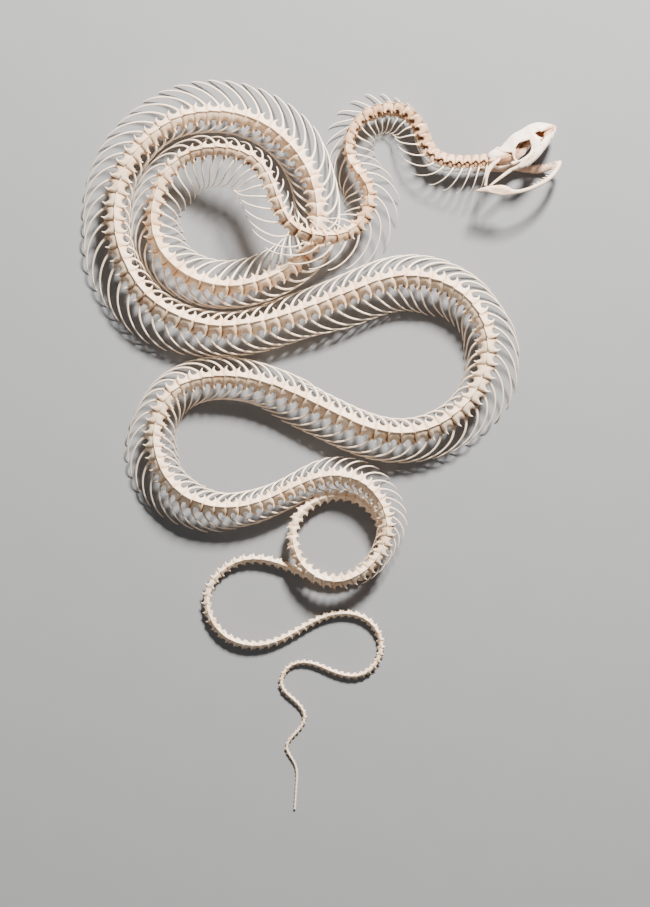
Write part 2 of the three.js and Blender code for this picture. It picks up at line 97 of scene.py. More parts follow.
dots = natural_spline(np.array(ROUTE, float) - PLAN_CENTRE)
gone = np.concatenate([[0], np.cumsum(np.hypot(*np.diff(dots, axis=0).T))])
LENGTH = gone[-1]
print(f"backbone {LENGTH:.0f} mm long")

# %% [markdown]
# ## What changes along the back
#
# Vertebrae grow and shrink from neck to tail, the body rolls a little to one side or the other in
# its bends, it climbs over itself once, and the ribs spread wide or lie close. Each of those is a
# short table of distance and value, in millimetres or degrees, eased between its rows so that
# nothing jumps from one bone to the next. The route runs between the tips of the ribs, and where
# the body leans, the bones stand aside of it.

# %% Tables along the back
PITCH = [(0, 4.8), (60, 6.3), (160, 6.9), (280, 7.9), (820, 8.2), (1100, 7.5), (1300, 6.8),
         (1430, 5.9), (1550, 5.6), (1700, 5.4), (1800, 4.8), (1900, 4.1), (1960, 3.5), (2020, 2.6)]
WIDTH = [(0, 7.5), (60, 9), (200, 11), (400, 13), (600, 14.4), (850, 15), (1000, 14.4),
         (1200, 13.2), (1350, 11.6), (1470, 10), (1510, 7.8), (1600, 6.7), (1750, 6), (1850, 4.8),
         (1950, 3.3), (2024, 1.6)]
HEIGHT = [(0, 9), (60, 9), (120, 10), (168, 14), (202, 25.5), (230, 28), (262, 26), (315, 14),
          (340, 12.5), (460, 12), (900, 13), (1200, 12), (1350, 11), (1400, 12), (1470, 12),
          (1505, 10), (1550, 4.5), (1570, 3.2), (1690, 3), (1900, 1.7), (2024, 0.7)]
ROLL = [(0, 85), (36, 80), (60, 60), (90, 46), (120, 22), (145, 2), (187, 14), (238, 20), (330, 18),
        (368, 0), (428, -12), (457, -12), (499, 0), (540, 10), (580, 16), (620, 10), (661, 0),
        (701, -6), (742, -14), (835, -16), (906, -14), (940, -8), (985, 0), (1014, 10), (1123, 12),
        (1173, 14), (1209, 6), (1242, 0), (1282, -8), (1330, -12), (1400, -2), (1440, 0), (2024, 0)]
# The bones stand this far to the left of the route.
ASIDE = [(0, 0), (70, 0), (86, 1.4), (119, -1.2), (153, 0), (187, 3.6), (330, 3.2), (368, -0.5),
         (428, -3.2), (457, -3.2), (499, 0), (540, 2.6), (580, 4), (620, 3), (661, 0.4), (701, -1),
         (742, -3), (783, -3.6), (906, -4), (940, -3), (985, 0), (1014, 2), (1050, 3.2), (1123, 3),
         (1173, 3.4), (1209, 1.4), (1244, 0.3), (1282, -1.6), (1330, -2.6), (1390, -3.2), (1440, -1),
         (1490, 0)]
REACH_LEFT = [(0, 14), (14, 19), (40, 16), (115, 15), (134, 12.6), (150, 18), (175, 23),
              (300, 25.5), (322, 24.5), (358, 16.8), (385, 13.5), (510, 13.5), (590, 14.5),
              (656, 8.8), (690, 6.4), (720, 5), (805, 5), (835, 8.4), (865, 8.6), (925, 10.5),
              (955, 12), (980, 19), (1000, 22.5), (1025, 20.4), (1120, 20.4), (1150, 16.6),
              (1190, 16.3), (1240, 13.2), (1270, 9.9), (1310, 6.6), (1342, 5), (1375, 8.6),
              (1400, 9.4), (1420, 10.5), (1440, 6), (1470, 5)]
REACH_RIGHT = [(0, -6), (50, -5), (72, 6), (90, 10.5), (108, 14), (132, 15), (156, 15),
               (174, 9.6), (200, 5), (286, 4), (298, 6.6), (334, 10.5), (358, 13.5), (382, 15.5),
               (405, 15.5), (453, 14.5), (490, 13.8), (512, 13.8), (537, 16.6), (626, 17), (656, 19),
               (690, 19.5), (715, 24), (745, 25), (790, 20.6), (835, 19.5), (865, 23), (925, 24),
               (940, 19.8), (978, 14.4), (1002, 9.6), (1016, 7), (1060, 4.8), (1120, 4.8),
               (1134, 7.8), (1194, 9.9), (1212, 11.5), (1252, 18), (1270, 19), (1290, 17.4),
               (1312, 13.8), (1342, 12.6), (1372, 11.2), (1402, 8.4), (1430, 7), (1470, 5)]
SWEEP_LEFT = [(0, 9), (60, 14), (200, 20), (500, 25), (1100, 25), (1250, 20), (1400, 13), (1470, 8)]
SWEEP_RIGHT = [(0, 9), (60, 14), (165, 18), (195, 9), (245, 10), (290, 22), (500, 25), (1100, 25),
               (1250, 20), (1400, 13), (1470, 8)]
TIP_LEFT = [(0, 9), (60, 6), (90, 2), (120, 0), (172, 3), (190, 17), (204, 20.5), (248, 20.5),
            (268, 13), (295, 4), (315, 0), (1395, 0), (1415, 7.5), (1470, 7.5)]
TIP_RIGHT = [(0, 2), (60, 1), (160, 0), (176, 10), (192, 20), (240, 20), (254, 11), (280, 3),
             (300, 0), (1395, 0), (1410, 7.5), (1440, 7.5), (1470, 4)]
NECK_END = 150
LAST_RIB = 1456


def eased(rows):
    """A function that reads the table at any distance, easing in and out of each row."""
    at, value = np.array(rows, float).T

    def read(s):
        s = np.clip(s, at[0], at[-1])
        i = np.clip(np.searchsorted(at, s, side="right") - 1, 0, len(at) - 2)
        t = (s - at[i]) / (at[i + 1] - at[i])
        return value[i] + (value[i + 1] - value[i]) * t * t * (3 - 2 * t)

    return read


pitch, width, height, roll, aside = (eased(rows) for rows in (PITCH, WIDTH, HEIGHT, ROLL, ASIDE))
print(f"widest vertebra {width(850):.1f} mm, last one {width(LENGTH):.1f} mm")

# %% [markdown]
# ## Axes at every distance
#
# A bone needs more than a place: it must know which way the tail lies, where its left flank is and
# which way its crest points. Differences of neighbouring points give the tailward direction, the
# floor's upward direction gives left, and the roll turns both about the back. Working on whole
# arrays of distances at once keeps this fast for hundreds of bones.

# %% Axes along the back
UP = np.array([0.0, 0.0, 1.0])


def unit(v):
    """The same directions, one long."""
    return v / np.linalg.norm(v, axis=-1, keepdims=True)


def back_point(s):
    """Points of the route at distances s, with their height."""
    s = np.clip(s, 0, LENGTH)
    return np.stack([np.interp(s, gone, dots[:, 0]), np.interp(s, gone, dots[:, 1]), height(s)], -1)


def axes(s, step=0.6):
    """Route point, tailward, left, and the rolled across and back directions at distances s."""
    tailward = unit(back_point(s + step) - back_point(s - step))
    left = unit(np.cross(UP, tailward))
    dorsal = np.cross(tailward, left)
    angle = np.radians(roll(s))[..., None]
    across = left * np.cos(angle) + dorsal * np.sin(angle)
    back = dorsal * np.cos(angle) - left * np.sin(angle)
    return back_point(s), tailward, left, across, back


def bone_point(s):
    """Middle of the vertebrae at distances s, beside the route."""
    on_route, _, left, _, _ = axes(s)
    return on_route + left * aside(s)[..., None]


print("at the crossing the back is", round(float(back_point(230)[2]), 1), "mm high")

# %% Stations of the vertebrae
FIRST = 1.2
stations = []
s = FIRST
while s + pitch(s) < LENGTH:
    stations.append(s)
    s += float(pitch(s))
stations = np.array(stations)
print(len(stations), "vertebrae,", int((stations < LAST_RIB).sum()), "of them with ribs")

# %% [markdown]
# ## Lengths of the spine
#
# The solids are cut where a long bend adds up, so that each one stays a simple arc. The same rule
# here gives the same lengths and the same names, and each dressed length then stands in for its
# own solid.

# %% Names of the lengths
TURN = {"neck": 66, "trunk": 54, "tail": 62}
LIMIT = {"neck": 60, "trunk": 84, "tail": 60}


def divided():
    """[(name, indices of its vertebrae)], cut at the named borders, by bend and by length."""
    directions = axes(stations)[1]
    headings = np.arctan2(directions[:, 1], directions[:, 0])
    lengths, counts = [], {}
    part, turned, start = "", 0.0, 0.0
    for i, s in enumerate(stations):
        here = "neck" if s < NECK_END else "trunk" if s < LAST_RIB else "tail"
        if i:
            step = headings[i] - headings[i - 1]
            turned += abs(math.atan2(math.sin(step), math.cos(step)))
        if here != part or turned > math.radians(TURN[here]) or s - start > LIMIT[here]:
            counts[here] = counts.get(here, 0) + 1
            lengths.append((f"{here}_{counts[here]:02d}", []))
            part, turned, start = here, 0.0, s
        lengths[-1][1].append(i)
    return lengths


LENGTHS = divided()

# %% [markdown]
# ## Floor, camera and light
#
# The skeleton lies flat and is seen from straight above. A long lens far away keeps the low bones
# and the one high crossing at the same scale. One warm lamp beyond the head's end of the floor, not
# high above it, gives each tented vertebra a bright and a shaded side. A weak one opposite and a
# pale even surround lift the shadows.

# %% Studio
VIEW_CENTRE = (1.5, -5.87)
VIEW_TALL = 544.2
CAMERA_HIGH = 3000
BACK_LEVEL = 12
SENSOR = 36
KEY_AT, KEY_SIZE, KEY_WATTS, KEY_TINT = (0.45, 1.3, 0.9), 0.3, 150, (1, 0.92, 0.82)
FILL_AT, FILL_SIZE, FILL_WATTS, FILL_TINT = (-1.2, -0.5, 1.0), 1.0, 3, (1, 0.9, 0.82)
SURROUND_TINT = (1, 0.95, 0.91, 1)
SURROUND_STRENGTH = 0.12


def camera_above():
    """A camera straight above, its lens set by how much floor the view is to show."""
    data = bpy.data.cameras.new("studio_camera")
    data.sensor_width = SENSOR
    data.lens = SENSOR * (CAMERA_HIGH - BACK_LEVEL) / VIEW_TALL
    data.clip_end = 100
    camera = bpy.data.objects.new("studio_camera", data)
    camera.location = (VIEW_CENTRE[0] * MM, VIEW_CENTRE[1] * MM, CAMERA_HIGH * MM)
    bpy.context.scene.collection.objects.link(camera)
    bpy.context.scene.camera = camera


def lamp(name, place, size, watts, tint):
    """A round lamp that looks at the middle of the floor."""
    data = bpy.data.lights.new(name, "AREA")
    data.shape = "DISK"
    data.size = size
    data.energy = watts
    data.color = tint
    light = bpy.data.objects.new(name, data)
    light.location = place
    light.rotation_euler = (-Vector(place)).to_track_quat("-Z", "Y").to_euler()
    bpy.context.scene.collection.objects.link(light)


camera_above()
lamp("key_lamp", KEY_AT, KEY_SIZE, KEY_WATTS, KEY_TINT)
lamp("fill_lamp", FILL_AT, FILL_SIZE, FILL_WATTS, FILL_TINT)
world = bpy.data.worlds.new("surround")
world.use_nodes = True
backdrop = world.node_tree.nodes["Background"]
backdrop.inputs["Color"].default_value = SURROUND_TINT
backdrop.inputs["Strength"].default_value = SURROUND_STRENGTH
bpy.context.scene.world = world
print("camera looks down from", CAMERA_HIGH, "mm")

# %% [markdown]
# ## Writing finishes as sums
#
# A finish is a web of nodes, and webs are hard to read. Wrapping an output socket in a small class
# lets plain arithmetic place the Math nodes: 1 - hollow is one Subtract node. Everything that is
# not arithmetic on numbers comes from one method, which sets the node's options first and then its
# sockets.

# %% Sockets as values
class Wire:
    """An output socket of a material, ready for arithmetic."""

    def __init__(self, tree, socket=None):
        self.tree = tree
        self.socket = socket

    def node(self, kind, settings=(), output=0, **sockets):
        """A node of the kind, with options, then values or wires on its sockets."""
        made = self.tree.nodes.new("ShaderNode" + kind)
        for option, value in dict(settings).items():
            if option == "stops":
                self.stops(made.color_ramp, value)
            else:
                setattr(made, option, value)
        for label, value in sockets.items():
            self.plug(made.inputs[int(label[1:]) if label[1:].isdigit() else label], value)
        return Wire(self.tree, made.outputs[output])

    def plug(self, socket, value):
        if isinstance(value, Wire):
            self.tree.links.new(value.socket, socket)
        else:
            socket.default_value = value

    def stops(self, ramp, rows):
        while len(ramp.elements) < len(rows):
            ramp.elements.new(0.5)
        for element, (place, colour) in zip(ramp.elements, rows):
            element.position = place
            element.color = (*colour, 1)

    def sum(self, operation, first, second):
        return self.node("Math", {"operation": operation}, _0=first, _1=second)

    def __add__(self, other):
        return self.sum("ADD", self, other)

    def __sub__(self, other):
        return self.sum("SUBTRACT", self, other)

    def __rsub__(self, other):
        return self.sum("SUBTRACT", other, self)

    def __mul__(self, other):
        return self.sum("MULTIPLY", self, other)

    __radd__ = __add__
    __rmul__ = __mul__

    def mix(self, first, second):
        """Colour between the first, where this value is 0, and the second, where it is 1."""
        return self.node("Mix", {"data_type": "RGBA"}, output=2, _0=self, _6=first, _7=second)


def finish_of(name):
    """A new material: its start for nodes and its surface shader."""
    material = bpy.data.materials.new(name)
    material.use_nodes = True
    tree = material.node_tree
    return material, Wire(tree), tree.nodes["Principled BSDF"]


print("finishes can be written as sums")

# %% [markdown]
# ## Dry bone
#
# Cleaned bone is ivory, a little glossy where it was handled, and brown in the hollows between
# joints and round the small holes of the nerves: there shade is painted into the colour, together
# with some fat and dust. Those hollows are found on the meshes and stored on their points as a value
# from 0 to 1, which the finish reads by name.
# A second stored value makes whole bones slightly lighter or darker than their neighbours. Noise
# in the object's own space adds clouds, grain and fine pores, with no image and no unwrap.

# %% Bone finish
def rgb(*parts):
    """A colour with its fourth value."""
    return (*parts, 1.0)


def bone_finish(name, ivory, tan, brown, cloud, pores):
    """Bone from ivory over tan to brown as painted shade and dirt deepen; cloud and pores per metre."""
    material, start, surface = finish_of(name)
    place = start.node("TexCoord", output=3)
    # Painted shade in the hollows, with some dirt, read from the value stored on the points.
    hollow = start.node("Attribute", {"attribute_name": "hollow"}, output=2)
    tone = start.node("Attribute", {"attribute_name": "tone"}, output=2)
    clouds = start.node("TexNoise", Vector=place, Scale=cloud, Detail=4.0, Roughness=0.6)
    grain = start.node("TexNoise", Vector=place, Scale=cloud * 5, Detail=3.0, Roughness=0.65)
    pits = start.node("TexVoronoi", Vector=place, Scale=pores)
    depth = hollow * 1.15 + (clouds - 0.5) * 0.6 + (grain - 0.5) * 0.35 + tone * 0.2
    shade = start.node("ValToRGB", {"stops": [(0.0, ivory), (0.12, ivory), (0.5, tan), (1.0, brown)]},
                       Fac=depth)
    speck = start.node("MapRange", {"clamp": True}, _0=grain, _1=0.62, _2=0.75, _3=0.0, _4=0.35)
    start.plug(surface.inputs["Base Color"], speck.mix(shade, rgb(*tan)))
    start.plug(surface.inputs["Roughness"], 0.42 + hollow * 0.25 + (grain - 0.5) * 0.25)
    relief = (grain - 0.5) * 0.5 + (clouds - 0.5) * 0.6 + pits * 0.35
    bumps = start.node("Bump", Strength=0.35, Distance=0.00025, Height=relief)
    start.plug(surface.inputs["Normal"], bumps)
    surface.inputs["IOR"].default_value = 1.5
    surface.inputs["Specular IOR Level"].default_value = 0.45
    surface.inputs["Subsurface Weight"].default_value = 0.06
    surface.inputs["Subsurface Radius"].default_value = (0.002, 0.0013, 0.0009)
    return material


IVORY = (0.94, 0.77, 0.59)
TAN = (0.70, 0.47, 0.30)
BROWN = (0.24, 0.12, 0.06)
vertebra_bone = bone_finish("vertebra_bone", IVORY, TAN, BROWN, cloud=160, pores=1500)
rib_bone = bone_finish("rib_bone", (0.95, 0.81, 0.67), (0.72, 0.53, 0.38), BROWN, cloud=90, pores=1800)
skull_bone = bone_finish("skull_bone", (0.93, 0.83, 0.74), (0.68, 0.45, 0.31), (0.30, 0.12, 0.04),
                         cloud=230, pores=2200)
print("three bone finishes")

# %% [markdown]
# ## From arrays to meshes
#
# Bones by the hundred are joined as arrays of points and triangles, which Blender takes in one
# step each. Every piece carries the two stored values and rides on the part's only body.

# %% Meshes from arrays
def mesh_from(name, points, triangles, hollow, tone):
    """A smooth mesh that carries the two stored values on its points."""
    mesh = bpy.data.meshes.new(name)
    mesh.vertices.add(len(points))
    mesh.vertices.foreach_set("co", np.asarray(points, np.float32).ravel())
    mesh.loops.add(3 * len(triangles))
    mesh.loops.foreach_set("vertex_index", np.asarray(triangles, np.int32).ravel())
    mesh.polygons.add(len(triangles))
    mesh.polygons.foreach_set("loop_start", np.arange(0, 3 * len(triangles), 3, dtype=np.int32))
    mesh.update(calc_edges=True)
    mesh.validate()
    mesh.shade_smooth()
    for label, values in (("hollow", hollow), ("tone", tone)):
        mesh.attributes.new(label, "FLOAT", "POINT").data.foreach_set(
            "value", np.asarray(values, np.float32))
    return mesh


def piece(name, mesh, finish, slot, *nodes):
    """A visible piece, in the place of the solids that it names."""
    made = bpy.data.objects.new(name, mesh)
    mesh.materials.append(finish)
    bpy.context.scene.collection.objects.link(made)
    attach(made, "root")
    if nodes:
        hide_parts(*nodes)


def read_mesh(mesh):
    """Points and triangles of a mesh as arrays."""
    mesh.calc_loop_triangles()
    points = np.empty(3 * len(mesh.vertices), np.float32)
    mesh.vertices.foreach_get("co", points)
    triangles = np.empty(3 * len(mesh.loop_triangles), np.int32)
    mesh.loop_triangles.foreach_get("vertices", triangles)
    return points.reshape(-1, 3).astype(float), triangles.reshape(-1, 3)


print("arrays can become pieces")

# %% [markdown]
# ## Lobes and plates
#
# Bone is grown, not cut, so its forms are lobes, bars and thin shells that flow into each other.
# A lobe here is a path with an oval at each of its points, given by half a width and half a
# height. A plate is a thin shell between two edges, arched a little in between. Both are given by
# a few rows, and a Catmull-Rom curve through the rows fills in the steps between them. Joining
# closed lobes with a boolean leaves hard creases, so they are only laid into each other, and the
# next step melts them together.

# %% Rows and skins
def flowing(rows, steps):
    """The rows with a smooth curve's steps between them; each column keeps to its rows' range."""
    rows = np.array(rows, float)
    padded = np.vstack([2 * rows[0] - rows[1], rows, 2 * rows[-1] - rows[-2]])
    t = np.arange(steps)[:, None] / steps
    fine = [0.5 * (2 * b + (c - a) * t + (2 * a - 5 * b + 4 * c - d) * t ** 2
                   + (3 * b - a - 3 * c + d) * t ** 3)
            for a, b, c, d in zip(padded, padded[1:], padded[2:], padded[3:])]
    fine = np.vstack([*fine, rows[-1:]])
    return np.clip(fine, rows.min(0), rows.max(0))


def skinned(ring, first, last):
    """Points and triangles of a closed tube over rings of points, with its two end points."""
    count, sides = ring.shape[:2]
    points = np.vstack([ring.reshape(-1, 3), [first], [last]])
    low, high = count * sides, count * sides + 1
    triangles = []
    for k in range(sides):
        m = (k + 1) % sides
        for i in range(count - 1):
            a, b = i * sides + k, i * sides + m
            triangles += [(a, b, b + sides), (a, b + sides, a + sides)]
        end = (count - 1) * sides
        triangles += [(low, m, k), (high, end + k, end + m)]
    return points, np.array(triangles)


print("two rows become", len(flowing([(0, 0), (1, 1)], 4)))

# %% Lobes
def lobe(rows, out=(0, 0, 1), sides=14, steps=4):
    """Closed sweep. Rows are (x, y, z, half across, half along out); out need not be square."""
    rows = flowing(rows, steps)
    centres = rows[:, :3]
    along = np.empty_like(centres)
    along[1:-1] = centres[2:] - centres[:-2]
    along[0] = centres[1] - centres[0]
    along[-1] = centres[-1] - centres[-2]
    along = unit(along)
    out = np.broadcast_to(np.array(out, float), centres.shape)
    tall = unit(out - along * (out * along).sum(1, keepdims=True))
    wide = np.cross(tall, along)
    angle = np.arange(sides) * 2 * math.pi / sides
    ring = (centres[:, None] + wide[:, None] * rows[:, 3, None, None] * np.cos(angle)[:, None]
            + tall[:, None] * rows[:, 4, None, None] * np.sin(angle)[:, None])
    return skinned(ring, centres[0], centres[-1])


print("a plain lobe has", len(lobe([(0, 0, 0, 1, 1), (1, 0, 0, 1, 1)])[1]), "triangles")

# %% Plates
def plate(rows, sides=20, steps=4):
    """Thin shell. Rows are (x, y0, z0, y1, z1, half thickness, arch) for its two edges 0 and 1."""
    rows = flowing(rows, steps)
    angle = np.arange(sides) * 2 * math.pi / sides
    share = (0.5 - 0.5 * np.cos(angle))[None, :, None]
    low, high = rows[:, None, 1:3], rows[:, None, 3:5]
    normal = unit(np.stack([low[..., 1] - high[..., 1], high[..., 0] - low[..., 0]], -1))
    lift = rows[:, None, 5:6] * np.sign(np.sin(angle))[:, None] * np.abs(np.sin(angle))[:, None] ** 0.6
    lift = lift + rows[:, None, 6:7] * 4 * share * (1 - share)
    section = low + (high - low) * share + normal * lift
    x = np.broadcast_to(rows[:, None, :1], section.shape[:2] + (1,))
    ring = np.concatenate([x, section], -1)
    return skinned(ring, ring[0].mean(0), ring[-1].mean(0))


print("a plain plate has", len(plate([(0, 0, 0, 1, 0, 0.1, 0), (1, 0, 0, 1, 0, 0.1, 0)])[1]), "triangles")

# %% Mirror images and groups
def mirrored(shape, axis):
    """The shape on the other side of the body."""
    points, triangles = shape
    turned = points.copy()
    turned[:, axis] *= -1
    return turned, triangles[:, ::-1]


def both(*shapes, axis=1):
    """The shapes and their mirror images."""
    return [*shapes, *(mirrored(shape, axis) for shape in shapes)]


def gathered(shapes):
    """Several shapes as one array of points and one of triangles."""
    points, triangles, first = [], [], 0
    for p, t in shapes:
        points.append(p)
        triangles.append(np.asarray(t) + first)
        first += len(p)
    return np.vstack(points), np.vstack(triangles)


print("mirror images along y and groups are ready")

# %% [markdown]
# ## Melting lobes into a bone
#
# A voxel remesh wraps one skin round everything that is laid together, as clay would close over a
# wire. A few rounds of smoothing soften the steps, small dents are pressed in as a thumb would do,
# and a collapse takes the mesh down to the number of triangles that a bone of that size deserves.

# %% Melted bone
def applied(points, triangles, modifiers):
    """The shape after a stack of modifiers, each (type, settings)."""
    mesh = bpy.data.meshes.new("clay")
    mesh.from_pydata(points.tolist(), [], np.asarray(triangles).tolist())
    clay = bpy.data.objects.new("clay", mesh)
    bpy.context.scene.collection.objects.link(clay)
    for kind, settings in modifiers:
        modifier = clay.modifiers.new(kind.lower(), kind)
        for option, value in settings.items():
            setattr(modifier, option, value)
    graph = bpy.context.evaluated_depsgraph_get()
    made = bpy.data.meshes.new_from_object(clay.evaluated_get(graph))
    result = read_mesh(made)
    bpy.data.objects.remove(clay)
    bpy.data.meshes.remove(mesh)
    bpy.data.meshes.remove(made)
    return result


def melted(shapes, voxel, rounds, dents, triangles):
    """One skin over the shapes. Dents are (place, radius, push)."""
    points, faces = applied(*gathered(shapes), [
        ("REMESH", {"mode": "VOXEL", "voxel_size": voxel}),
        ("SMOOTH", {"factor": 0.5, "iterations": rounds}),
    ])
    for place, radius, push in dents:
        fall = np.exp(-((points - place) ** 2).sum(1) / radius ** 2)
        points = points + fall[:, None] * push
    share = min(1.0, triangles / len(faces))
    return applied(points, faces, [("DECIMATE", {"ratio": share})])


print("clay is ready")

# %% [markdown]
# ## Finding the hollows
#
# Shade falls, and some dirt gathers, where light and brushes do not reach, and here both are painted
# into the colour. Blender's pointiness only works at render time and knows nothing of the next bone,
# so each point sends a fan of short rays, and the share that hits bone is stored as its painted
# shade value. Spots that the rays miss are listed and added.

# %% Hollows
# Shares of a ray's reach and length by which it starts off the bone and leans away from it.
RAY_START = 0.04
RAY_LEAN = 0.3


def spotted(points, shade_and_dirt_values, painted_spots):
    """The stored value with soft spots added, each (place, radii, amount)."""
    for place, radii, amount in painted_spots:
        near = (((points - place) / radii) ** 2).sum(1)
        shade_and_dirt_values = shade_and_dirt_values + amount * np.exp(-near)
    return np.clip(shade_and_dirt_values, 0, 1)


def occlusion(points, triangles, reach, shift=None, rays=28):
    """How enclosed each point is, 0 open to 1 deep, with neighbours at plus and minus shift."""
    shapes = [(points, triangles)]
    if shift is not None:
        shapes += [(points + shift, triangles), (points - shift, triangles)]
    solid = BVHTree.FromPolygons(*[part.tolist() for part in gathered(shapes)])
    corner = points[triangles]
    face_normal = np.cross(corner[:, 1] - corner[:, 0], corner[:, 2] - corner[:, 0])
    normal = np.zeros_like(points)
    for k in range(3):
        np.add.at(normal, triangles[:, k], face_normal)
    normal = unit(normal + 1e-12)
    fan = unit(chance.normal(size=(rays, 3)))
    hit = np.zeros(len(points))
    for i, (p, n) in enumerate(zip(points, normal)):
        start = Vector(p + n * reach * RAY_START)
        for ray in fan:
            towards = ray if ray @ n > 0 else -ray
            if solid.ray_cast(start, Vector(unit(towards + n * RAY_LEAN)), reach)[0] is not None:
                hit[i] += 1
    return hit / rays


print("hollows can be found")

# %% [markdown]
# ## One vertebra
#
# Seen from above, a snake's vertebra is a tent: a thin crest along its middle and a smooth roof that
# slopes to both sides. The roof is narrow at its waist, widens over the next bone and ends on each
# side in a sharp spur that points out and a little forward. Between the waist and the spur the
# outline is cut by a round notch, in front of it stands the knob that takes the rib, and under the
# roof is a round body with a ball behind. The roof halves are plates, all else is lobes.
#
# It is drawn for a bone one unit wide, tail end towards +x and left towards +y. The letter r is the
# length of a bone over its width, crest the height of the crest, keel the depth of the spike
# below, spur how far the spur reaches out, and depth how far the flanks hang.

# %% What a vertebra has on both sides
def winged(r, crest, spur, depth):
    """Roof halves, spurs, joints, knobs for the ribs and flanks."""
    roof = plate([
        (-0.08 * r, 0, 0.15 + 0.25 * crest, 0.14, 0.06, 0.02, 0.0),
        (0.06 * r, 0, 0.17 + 0.4 * crest, 0.31, -0.03, 0.03, 0.0),
        (0.24 * r, 0, 0.18 + 0.52 * crest, 0.36, -0.08, 0.04, 0.02),
        (0.44 * r, 0, 0.2 + 0.64 * crest, 0.335, -0.06, 0.04, 0.03),
        (0.6 * r, 0, 0.2 + 0.7 * crest, 0.27, 0.0, 0.04, 0.035),
        (0.78 * r, 0, 0.2 + 0.72 * crest, 0.265, 0.03, 0.04, 0.035),
        (0.94 * r, 0, 0.2 + 0.7 * crest, 0.35, 0.01, 0.038, 0.035),
        (1.08 * r, 0, 0.2 + 0.62 * crest, 0.385, 0.015, 0.034, 0.025),
        (1.18 * r, 0, 0.2 + 0.5 * crest, 0.33, 0.06, 0.026, 0.015),
        (1.24 * r, 0, 0.2 + 0.3 * crest, 0.2, 0.14, 0.016, 0.005)])
    spike = lobe([
        (1.06 * r, 0.27, 0.06, 0.15 * r, 0.04), (1.07 * r, 0.35, 0.035, 0.13 * r, 0.04),
        (1.05 * r, 0.41, 0.015, 0.085 * r, 0.032), (1.01 * r, 0.43 + 0.5 * spur, 0.0, 0.05 * r, 0.024),
        (0.94 * r, 0.45 + spur, -0.015, 0.014 * r, 0.01)])
    front_joint = lobe([
        (0.06 * r, 0.2, -0.02, 0.14 * r, 0.04), (0.1 * r, 0.32, -0.04, 0.16 * r, 0.04),
        (0.14 * r, 0.38, -0.06, 0.12 * r, 0.03), (0.16 * r, 0.4, -0.06, 0.05 * r, 0.02)])
    knob = lobe([
        (0.22 * r, 0.12, -0.1, 0.2 * r, 0.1), (0.3 * r, 0.27, -0.11, 0.17 * r, 0.08),
        (0.37 * r, 0.37, -0.12, 0.15 * r, 0.07), (0.4 * r, 0.42, -0.13, 0.09 * r, 0.045)])
    low_knob = lobe([
        (0.12 * r, 0.1, -0.15, 0.14 * r, 0.08), (0.18 * r, 0.22, -0.18, 0.14 * r, 0.055),
        (0.22 * r, 0.29, -0.19, 0.08 * r, 0.03)])
    # The lower half, deep in the neck, where many muscles hold the head.
    flank = lobe([
        (0.06 * r, 0.2, -0.1 - 0.3 * depth, 0.08, 0.1 + 0.25 * depth),
        (0.3 * r, 0.22, -0.12 - 0.55 * depth, 0.11, 0.1 + 0.5 * depth),
        (0.6 * r, 0.16, -0.12 - 0.5 * depth, 0.08, 0.1 + 0.45 * depth),
        (0.9 * r, 0.16, -0.1 - 0.35 * depth, 0.06, 0.08 + 0.3 * depth)])
    return both(roof, spike, front_joint, knob, low_knob, flank)


print("a vertebra has", len(winged(0.6, 0.2, 0.1, 0)), "shapes on its sides")

# %% What a vertebra has in the middle
def middle(r, crest, keel, depth):
    """Body, canal of the nerve cord, crest with its thick top, and keel."""
    # Cup in front, slim waist, ball behind that fits the next cup.
    body = lobe([
        (-0.02, 0, -0.12, 0.12, 0.1), (0.04, 0, -0.12 - 0.1 * depth, 0.17, 0.14 + 0.1 * depth),
        (0.3 * r, 0, -0.14 - 0.2 * depth, 0.13, 0.11 + 0.2 * depth),
        (0.75 * r, 0, -0.14 - 0.2 * depth, 0.11, 0.1 + 0.2 * depth),
        (0.96 * r, 0, -0.12, 0.14, 0.12 + 0.1 * depth), (1.12 * r, 0, -0.12, 0.1, 0.09),
        (1.2 * r, 0, -0.12, 0.04, 0.04)])
    canal = lobe([
        (-0.04 * r, 0, 0.02, 0.17, 0.12), (0.2 * r, 0, 0.02, 0.22, 0.16), (0.6 * r, 0, 0.03, 0.19, 0.17),
        (0.95 * r, 0, 0.06, 0.22, 0.15), (1.06 * r, 0, 0.09, 0.18, 0.1)])
    # The crest's end leans over the next bone.
    blade = lobe([
        (0.02 * r, 0, 0.18, 0.02, 0.05), (0.12 * r, 0, 0.2 + 0.3 * crest, 0.03, 0.4 * crest),
        (0.5 * r, 0, 0.2 + 0.45 * crest, 0.034, 0.5 * crest),
        (0.92 * r, 0, 0.2 + 0.48 * crest, 0.034, 0.48 * crest),
        (1.05 * r, 0, 0.2 + 0.6 * crest, 0.022, 0.36 * crest)])
    blade_top = lobe([
        (0.12 * r, 0, 0.2 + 0.7 * crest, 0.02, 0.018), (0.6 * r, 0, 0.2 + 0.96 * crest, 0.024, 0.02),
        (1.06 * r, 0, 0.2 + crest, 0.02, 0.018)])
    low = -0.18 - 0.3 * depth
    end = -0.2 - 0.3 * depth
    keel_blade = lobe([
        (0.15 * r, 0, low, 0.02, 0.06), (0.55 * r, 0, low - 0.35 * keel, 0.026, 0.5 * keel),
        (0.95 * r, 0, end - 0.62 * keel, 0.022, 0.38 * keel),
        (1.08 * r, 0, end - 0.9 * keel, 0.016, 0.1 * keel)])
    return [body, canal, blade, blade_top, keel_blade]


print("and", len(middle(0.6, 0.2, 0.1, 0)), "in the middle")

